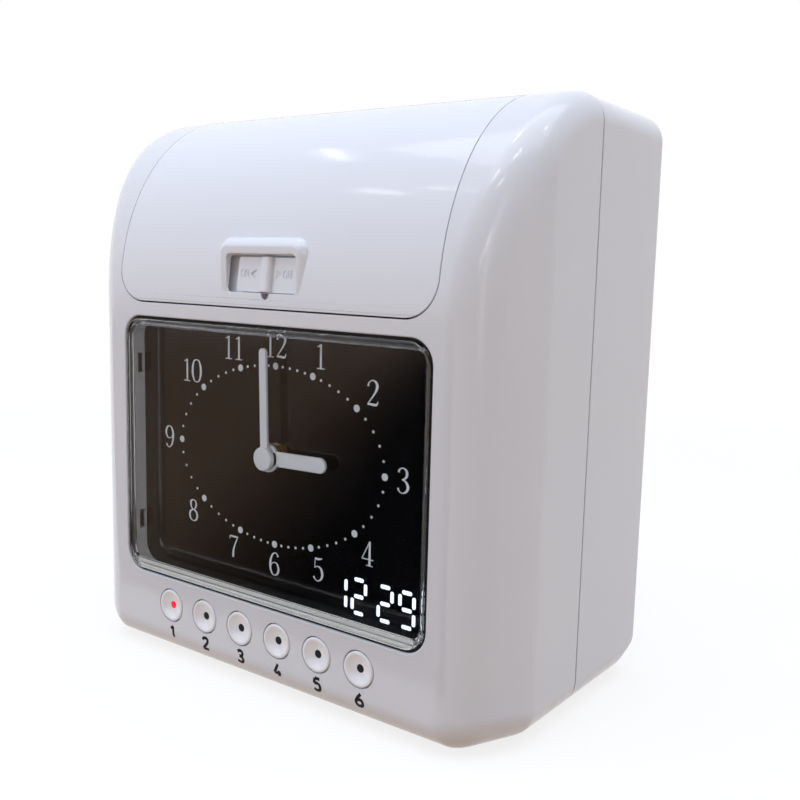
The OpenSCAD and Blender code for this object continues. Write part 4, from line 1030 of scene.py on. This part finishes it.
def button_numbers():
    """Bold round-ended numbers, laid on the case where its lower edge turns under."""
    rows = []
    for i in BUTTONS:
        strokes = [[(x * 1.22, z, 0.124) for x, z in stroke] for stroke in PLAIN[str(i)]]
        number = pen_mesh("button_number", [(strokes, -0.366)], NUMBER_H)
        number.location = (button_x(i, NUMBER_X) * MM, (FRONT - 2) * MM, NUMBER_Z * MM)
        set_down(number)
        peel(number, lambda f: f.normal.y > 0.3)
        apply(number, "SHRINKWRAP", target=bpy.data.objects["front_shell"], wrap_method="PROJECT",
              use_project_x=False, use_project_y=True, use_project_z=False,
              use_positive_direction=True, use_negative_direction=False,
              offset=0.05 * MM, wrap_mode="ABOVE_SURFACE")
        rows.append(number)
    return join("button_numbers", *rows)


dress(button_numbers(), number_ink)


# ---- Card slot and feet ----

def slot_trim():
    trim = block("slot_trim", (-BEZEL_HALF, BEZEL_HALF), BEZEL_Y, (BEZEL_TOP - 11, BEZEL_TOP))
    round_over(trim, lambda e: along(e, 2), 2.0, 5)
    carve(trim, block("card_gap", (-CARD_HALF, CARD_HALF), CARD_Y, (CASE_TOP - 19, CASE_TOP + 11)))
    round_over(trim, lambda e: at(e, 2, BEZEL_TOP), 0.8, 3)
    return smooth(trim)


dress(slot_trim(), grey_abs, "root", ["card_slot_bezel"])


def feet():
    pad = rod("foot_pad", FOOT_R, (0, FOOT_T), 0, 0, 48)
    pad.rotation_euler = (math.pi / 2, 0, 0)
    set_down(pad)
    round_over(pad, lambda e: at(e, 2, 0.0), 0.6, 3)
    pads = []
    for side in (-1, 1):
        for y in FOOT_DEPTHS:
            copy = twin(pad, "foot_pad_copy")
            copy.location = (side * FOOT_X * MM, y * MM, 0)
            pads.append(set_down(copy))
    bpy.data.objects.remove(pad)
    return smooth(join("foot_pads", *pads))


dress(feet(), rubber, "root", ["rubber_feet"])


# ---- Camera, floor and light ----

YAW, PITCH, ROLL = math.radians(36.61), math.radians(8.12), math.radians(1.39)
FOCUS_PIXELS, PHOTO_PIXELS, SENSOR = 976.196, 800, 36
look = Vector((-math.sin(YAW) * math.cos(PITCH), math.cos(YAW) * math.cos(PITCH), -math.sin(PITCH)))
right = Vector((math.cos(YAW), math.sin(YAW), 0))
up = right.cross(look)
right, up = (math.cos(ROLL) * right + math.sin(ROLL) * up,
             math.cos(ROLL) * up - math.sin(ROLL) * right)
camera = bpy.data.objects.new("photo_view", bpy.data.cameras.new("photo_view"))
camera.data.lens = FOCUS_PIXELS / PHOTO_PIXELS * SENSOR
camera.data.sensor_width = SENSOR
camera.data.clip_start = 0.01
camera.matrix_world = Matrix((right, up, -look)).transposed().to_4x4()
camera.location = (0.2822, (FRONT - 282.25) * MM, 0.1833)
bpy.context.collection.objects.link(camera)
bpy.context.scene.camera = camera


def seen_directly(mat):
    """1 for what the eye sees, in mirrors and through glass too, and 0 for light on other things."""
    rays = add(mat, "ShaderNodeLightPath").outputs
    direct = add(mat, "ShaderNodeMath", {0: rays["Is Camera Ray"], 1: rays["Is Glossy Ray"]},
                 operation="MAXIMUM")
    return add(mat, "ShaderNodeMath", {0: direct.outputs[0], 1: rays["Is Transmission Ray"]},
               operation="MAXIMUM").outputs[0]


settle()
bpy.ops.mesh.primitive_plane_add(size=12)
floor = bpy.context.object
floor.name = "floor"
# Pale matt paint: near white to the eye, with the object's shadow, and warm in what it throws back.
floor_paint = blank("floor_painted_pale")
seen = seen_directly(floor_paint)
matt = add(floor_paint, "ShaderNodeBsdfDiffuse", {"Color": tint("#BB9870")})
shadow = add(floor_paint, "ShaderNodeBsdfDiffuse", {"Color": tint("#828282")})
glow = add(floor_paint, "ShaderNodeEmission", {"Color": tint("#FFFFFF"), "Strength": 0.8})
near = add(floor_paint, "ShaderNodeAddShader", {0: shadow.outputs[0], 1: glow.outputs[0]})
far = add(floor_paint, "ShaderNodeEmission", {"Color": tint("#FFFFFF"), "Strength": 1.0})
spot = add(floor_paint, "ShaderNodeTexCoord").outputs["Object"]
reach = add(floor_paint, "ShaderNodeVectorMath", {0: spot}, operation="LENGTH")
fade = add(floor_paint, "ShaderNodeMapRange",
           {0: reach.outputs["Value"], 1: 0.3, 2: 1.0, 3: 0.0, 4: 1.0},
           interpolation_type="SMOOTHSTEP")
both = add(floor_paint, "ShaderNodeMixShader",
           {0: fade.outputs[0], 1: near.outputs[0], 2: far.outputs[0]})
which = add(floor_paint, "ShaderNodeMixShader", {0: seen, 1: matt.outputs[0], 2: both.outputs[0]})
add(floor_paint, "ShaderNodeOutputMaterial", {"Surface": which.outputs[0]})
floor.data.materials.append(floor_paint)

# A dark card on the floor in front, seen only in mirrors and glass, keeps the window dark.
settle()
bpy.ops.mesh.primitive_plane_add(size=1, location=(-1.3, FRONT * MM - 1.2, 0.001))
card = bpy.context.object
card.name = "dark_card"
card.scale = (2.8, 2.3, 1)
set_down(card)
card.visible_camera = card.visible_diffuse = card.visible_shadow = False
# Dark card: near black at the right, brown further to the left.
card_paper = blank("card_black_to_brown")
spot = add(card_paper, "ShaderNodeTexCoord").outputs["Object"]
spot = add(card_paper, "ShaderNodeSeparateXYZ", {0: spot}).outputs
slope = add(card_paper, "ShaderNodeMath", {0: spot[1], 1: 0.6}, operation="MULTIPLY")
slope = add(card_paper, "ShaderNodeMath", {0: slope.outputs[0], 1: spot[0]}, operation="SUBTRACT")
fade = add(card_paper, "ShaderNodeMapRange", {0: slope.outputs[0], 1: -0.04, 2: 0.16, 3: 0.0, 4: 1.0},
           interpolation_type="SMOOTHSTEP")
tone = add(card_paper, "ShaderNodeMix",
           {0: fade.outputs[0], 6: tint("#0A0A0C"), 7: tint("#8C7563")}, data_type="RGBA")
paper = add(card_paper, "ShaderNodeEmission", {"Color": tone.outputs[2], "Strength": 0.8})
add(card_paper, "ShaderNodeOutputMaterial", {"Surface": paper.outputs[0]})
card.data.materials.append(card_paper)


def lamp(name, place, aim, size, power, colour, mirrored=True):
    light = bpy.data.lights.new(name, "AREA")
    light.shape = "RECTANGLE"
    light.size, light.size_y = size
    light.energy = power
    light.color = tint(colour)[:3]
    stand = bpy.data.objects.new(name, light)
    stand.visible_glossy = mirrored
    stand.location = place
    if aim:
        stand.rotation_euler = (Vector(aim) - Vector(place)).to_track_quat("-Z", "Y").to_euler()
    bpy.context.collection.objects.link(stand)


lamp("top_softbox", (0.1, -0.15, 1.4), (0, 0, 0.1), (1.6, 1.3), 9.8, "#F2F6FF")
lamp("front_fill", (-0.85, -0.95, 0.4), (0, 0, 0.12), (0.9, 0.6), 5.3, "#E6EEFF", mirrored=False)
lamp("side_fill", (1.7, 0.35, 0.25), (0, 0, 0.1), (0.9, 0.5), 4.5, "#E6EEFF", mirrored=False)
lamp("edge_strip", (1.0, -1.0, 0.45), (0, 0, 0.12), (0.16, 1.1), 0.6, "#F6F8FF")
# Small tubes overhead, far too weak to light the case, which draw the short streaks on its lid.
TUBE_Z = 1.6
for x, y, length, power in ((-1.21, -0.91, 0.13, 0.1), (-1.02, -0.87, 0.05, 0.04),
                            (-0.94, -0.92, 0.04, 0.03), (-1.15, -0.11, 0.24, 0.12)):
    lamp("streak_tube", (x, y, TUBE_Z), (0, 0, 0.2), (length, 0.03), power, "#FFFFFF")
# Larger ones that face down, and low ones in front, for the short strokes down the right shoulder.
for x, y in ((-0.4, -0.13), (0.63, -0.04), (0.37, -0.69), (-0.12, -0.99), (0.52, -1.31)):
    lamp("stroke_tube", (x, y, TUBE_Z), None, (0.07, 0.2), 0.55, "#FFFFFF")
for x, y, z in ((1.02, -1.27, 0.7), (1.05, -1.27, 0.64), (0.97, -1.35, 0.54)):
    lamp("stroke_tube", (x, y, z), (0.1, -0.05, 0.19), (0.06, 0.12), 0.16, "#FFFFFF")

world = bpy.data.worlds.new("studio")
bpy.context.scene.world = world
world.use_nodes = True
world.node_tree.nodes.clear()
seen = seen_directly(world)
sky = add(world, "ShaderNodeTexCoord").outputs["Generated"]
place_in_sky = add(world, "ShaderNodeSeparateXYZ", {0: sky})
level = add(world, "ShaderNodeMapRange", {0: place_in_sky.outputs[2], 1: 0.0, 2: 1.0, 3: 0.46, 4: 0.8})
# The room is darker at the right in front, so that the slanted corner reads darker.
toward = add(world, "ShaderNodeVectorMath", {0: sky, 1: (0.75, -0.66, 0.05)}, operation="DOT_PRODUCT")
shade = add(world, "ShaderNodeMapRange", {0: toward.outputs["Value"], 1: 0.35, 2: 1.0, 3: 1.0, 4: 0.35},
            interpolation_type="SMOOTHSTEP")
strength = add(world, "ShaderNodeMath", {0: level.outputs[0], 1: shade.outputs[0]},
               operation="MULTIPLY")
room = add(world, "ShaderNodeBackground", {"Color": tint("#DDE7FA"), "Strength": strength.outputs[0]})
white = add(world, "ShaderNodeBackground", {"Color": tint("#FFFFFF"), "Strength": 1.0})
which = add(world, "ShaderNodeMixShader", {0: seen, 1: room.outputs[0], 2: white.outputs[0]})
add(world, "ShaderNodeOutputWorld", {"Surface": which.outputs[0]})

bpy.context.scene.view_settings.view_transform = "Standard"
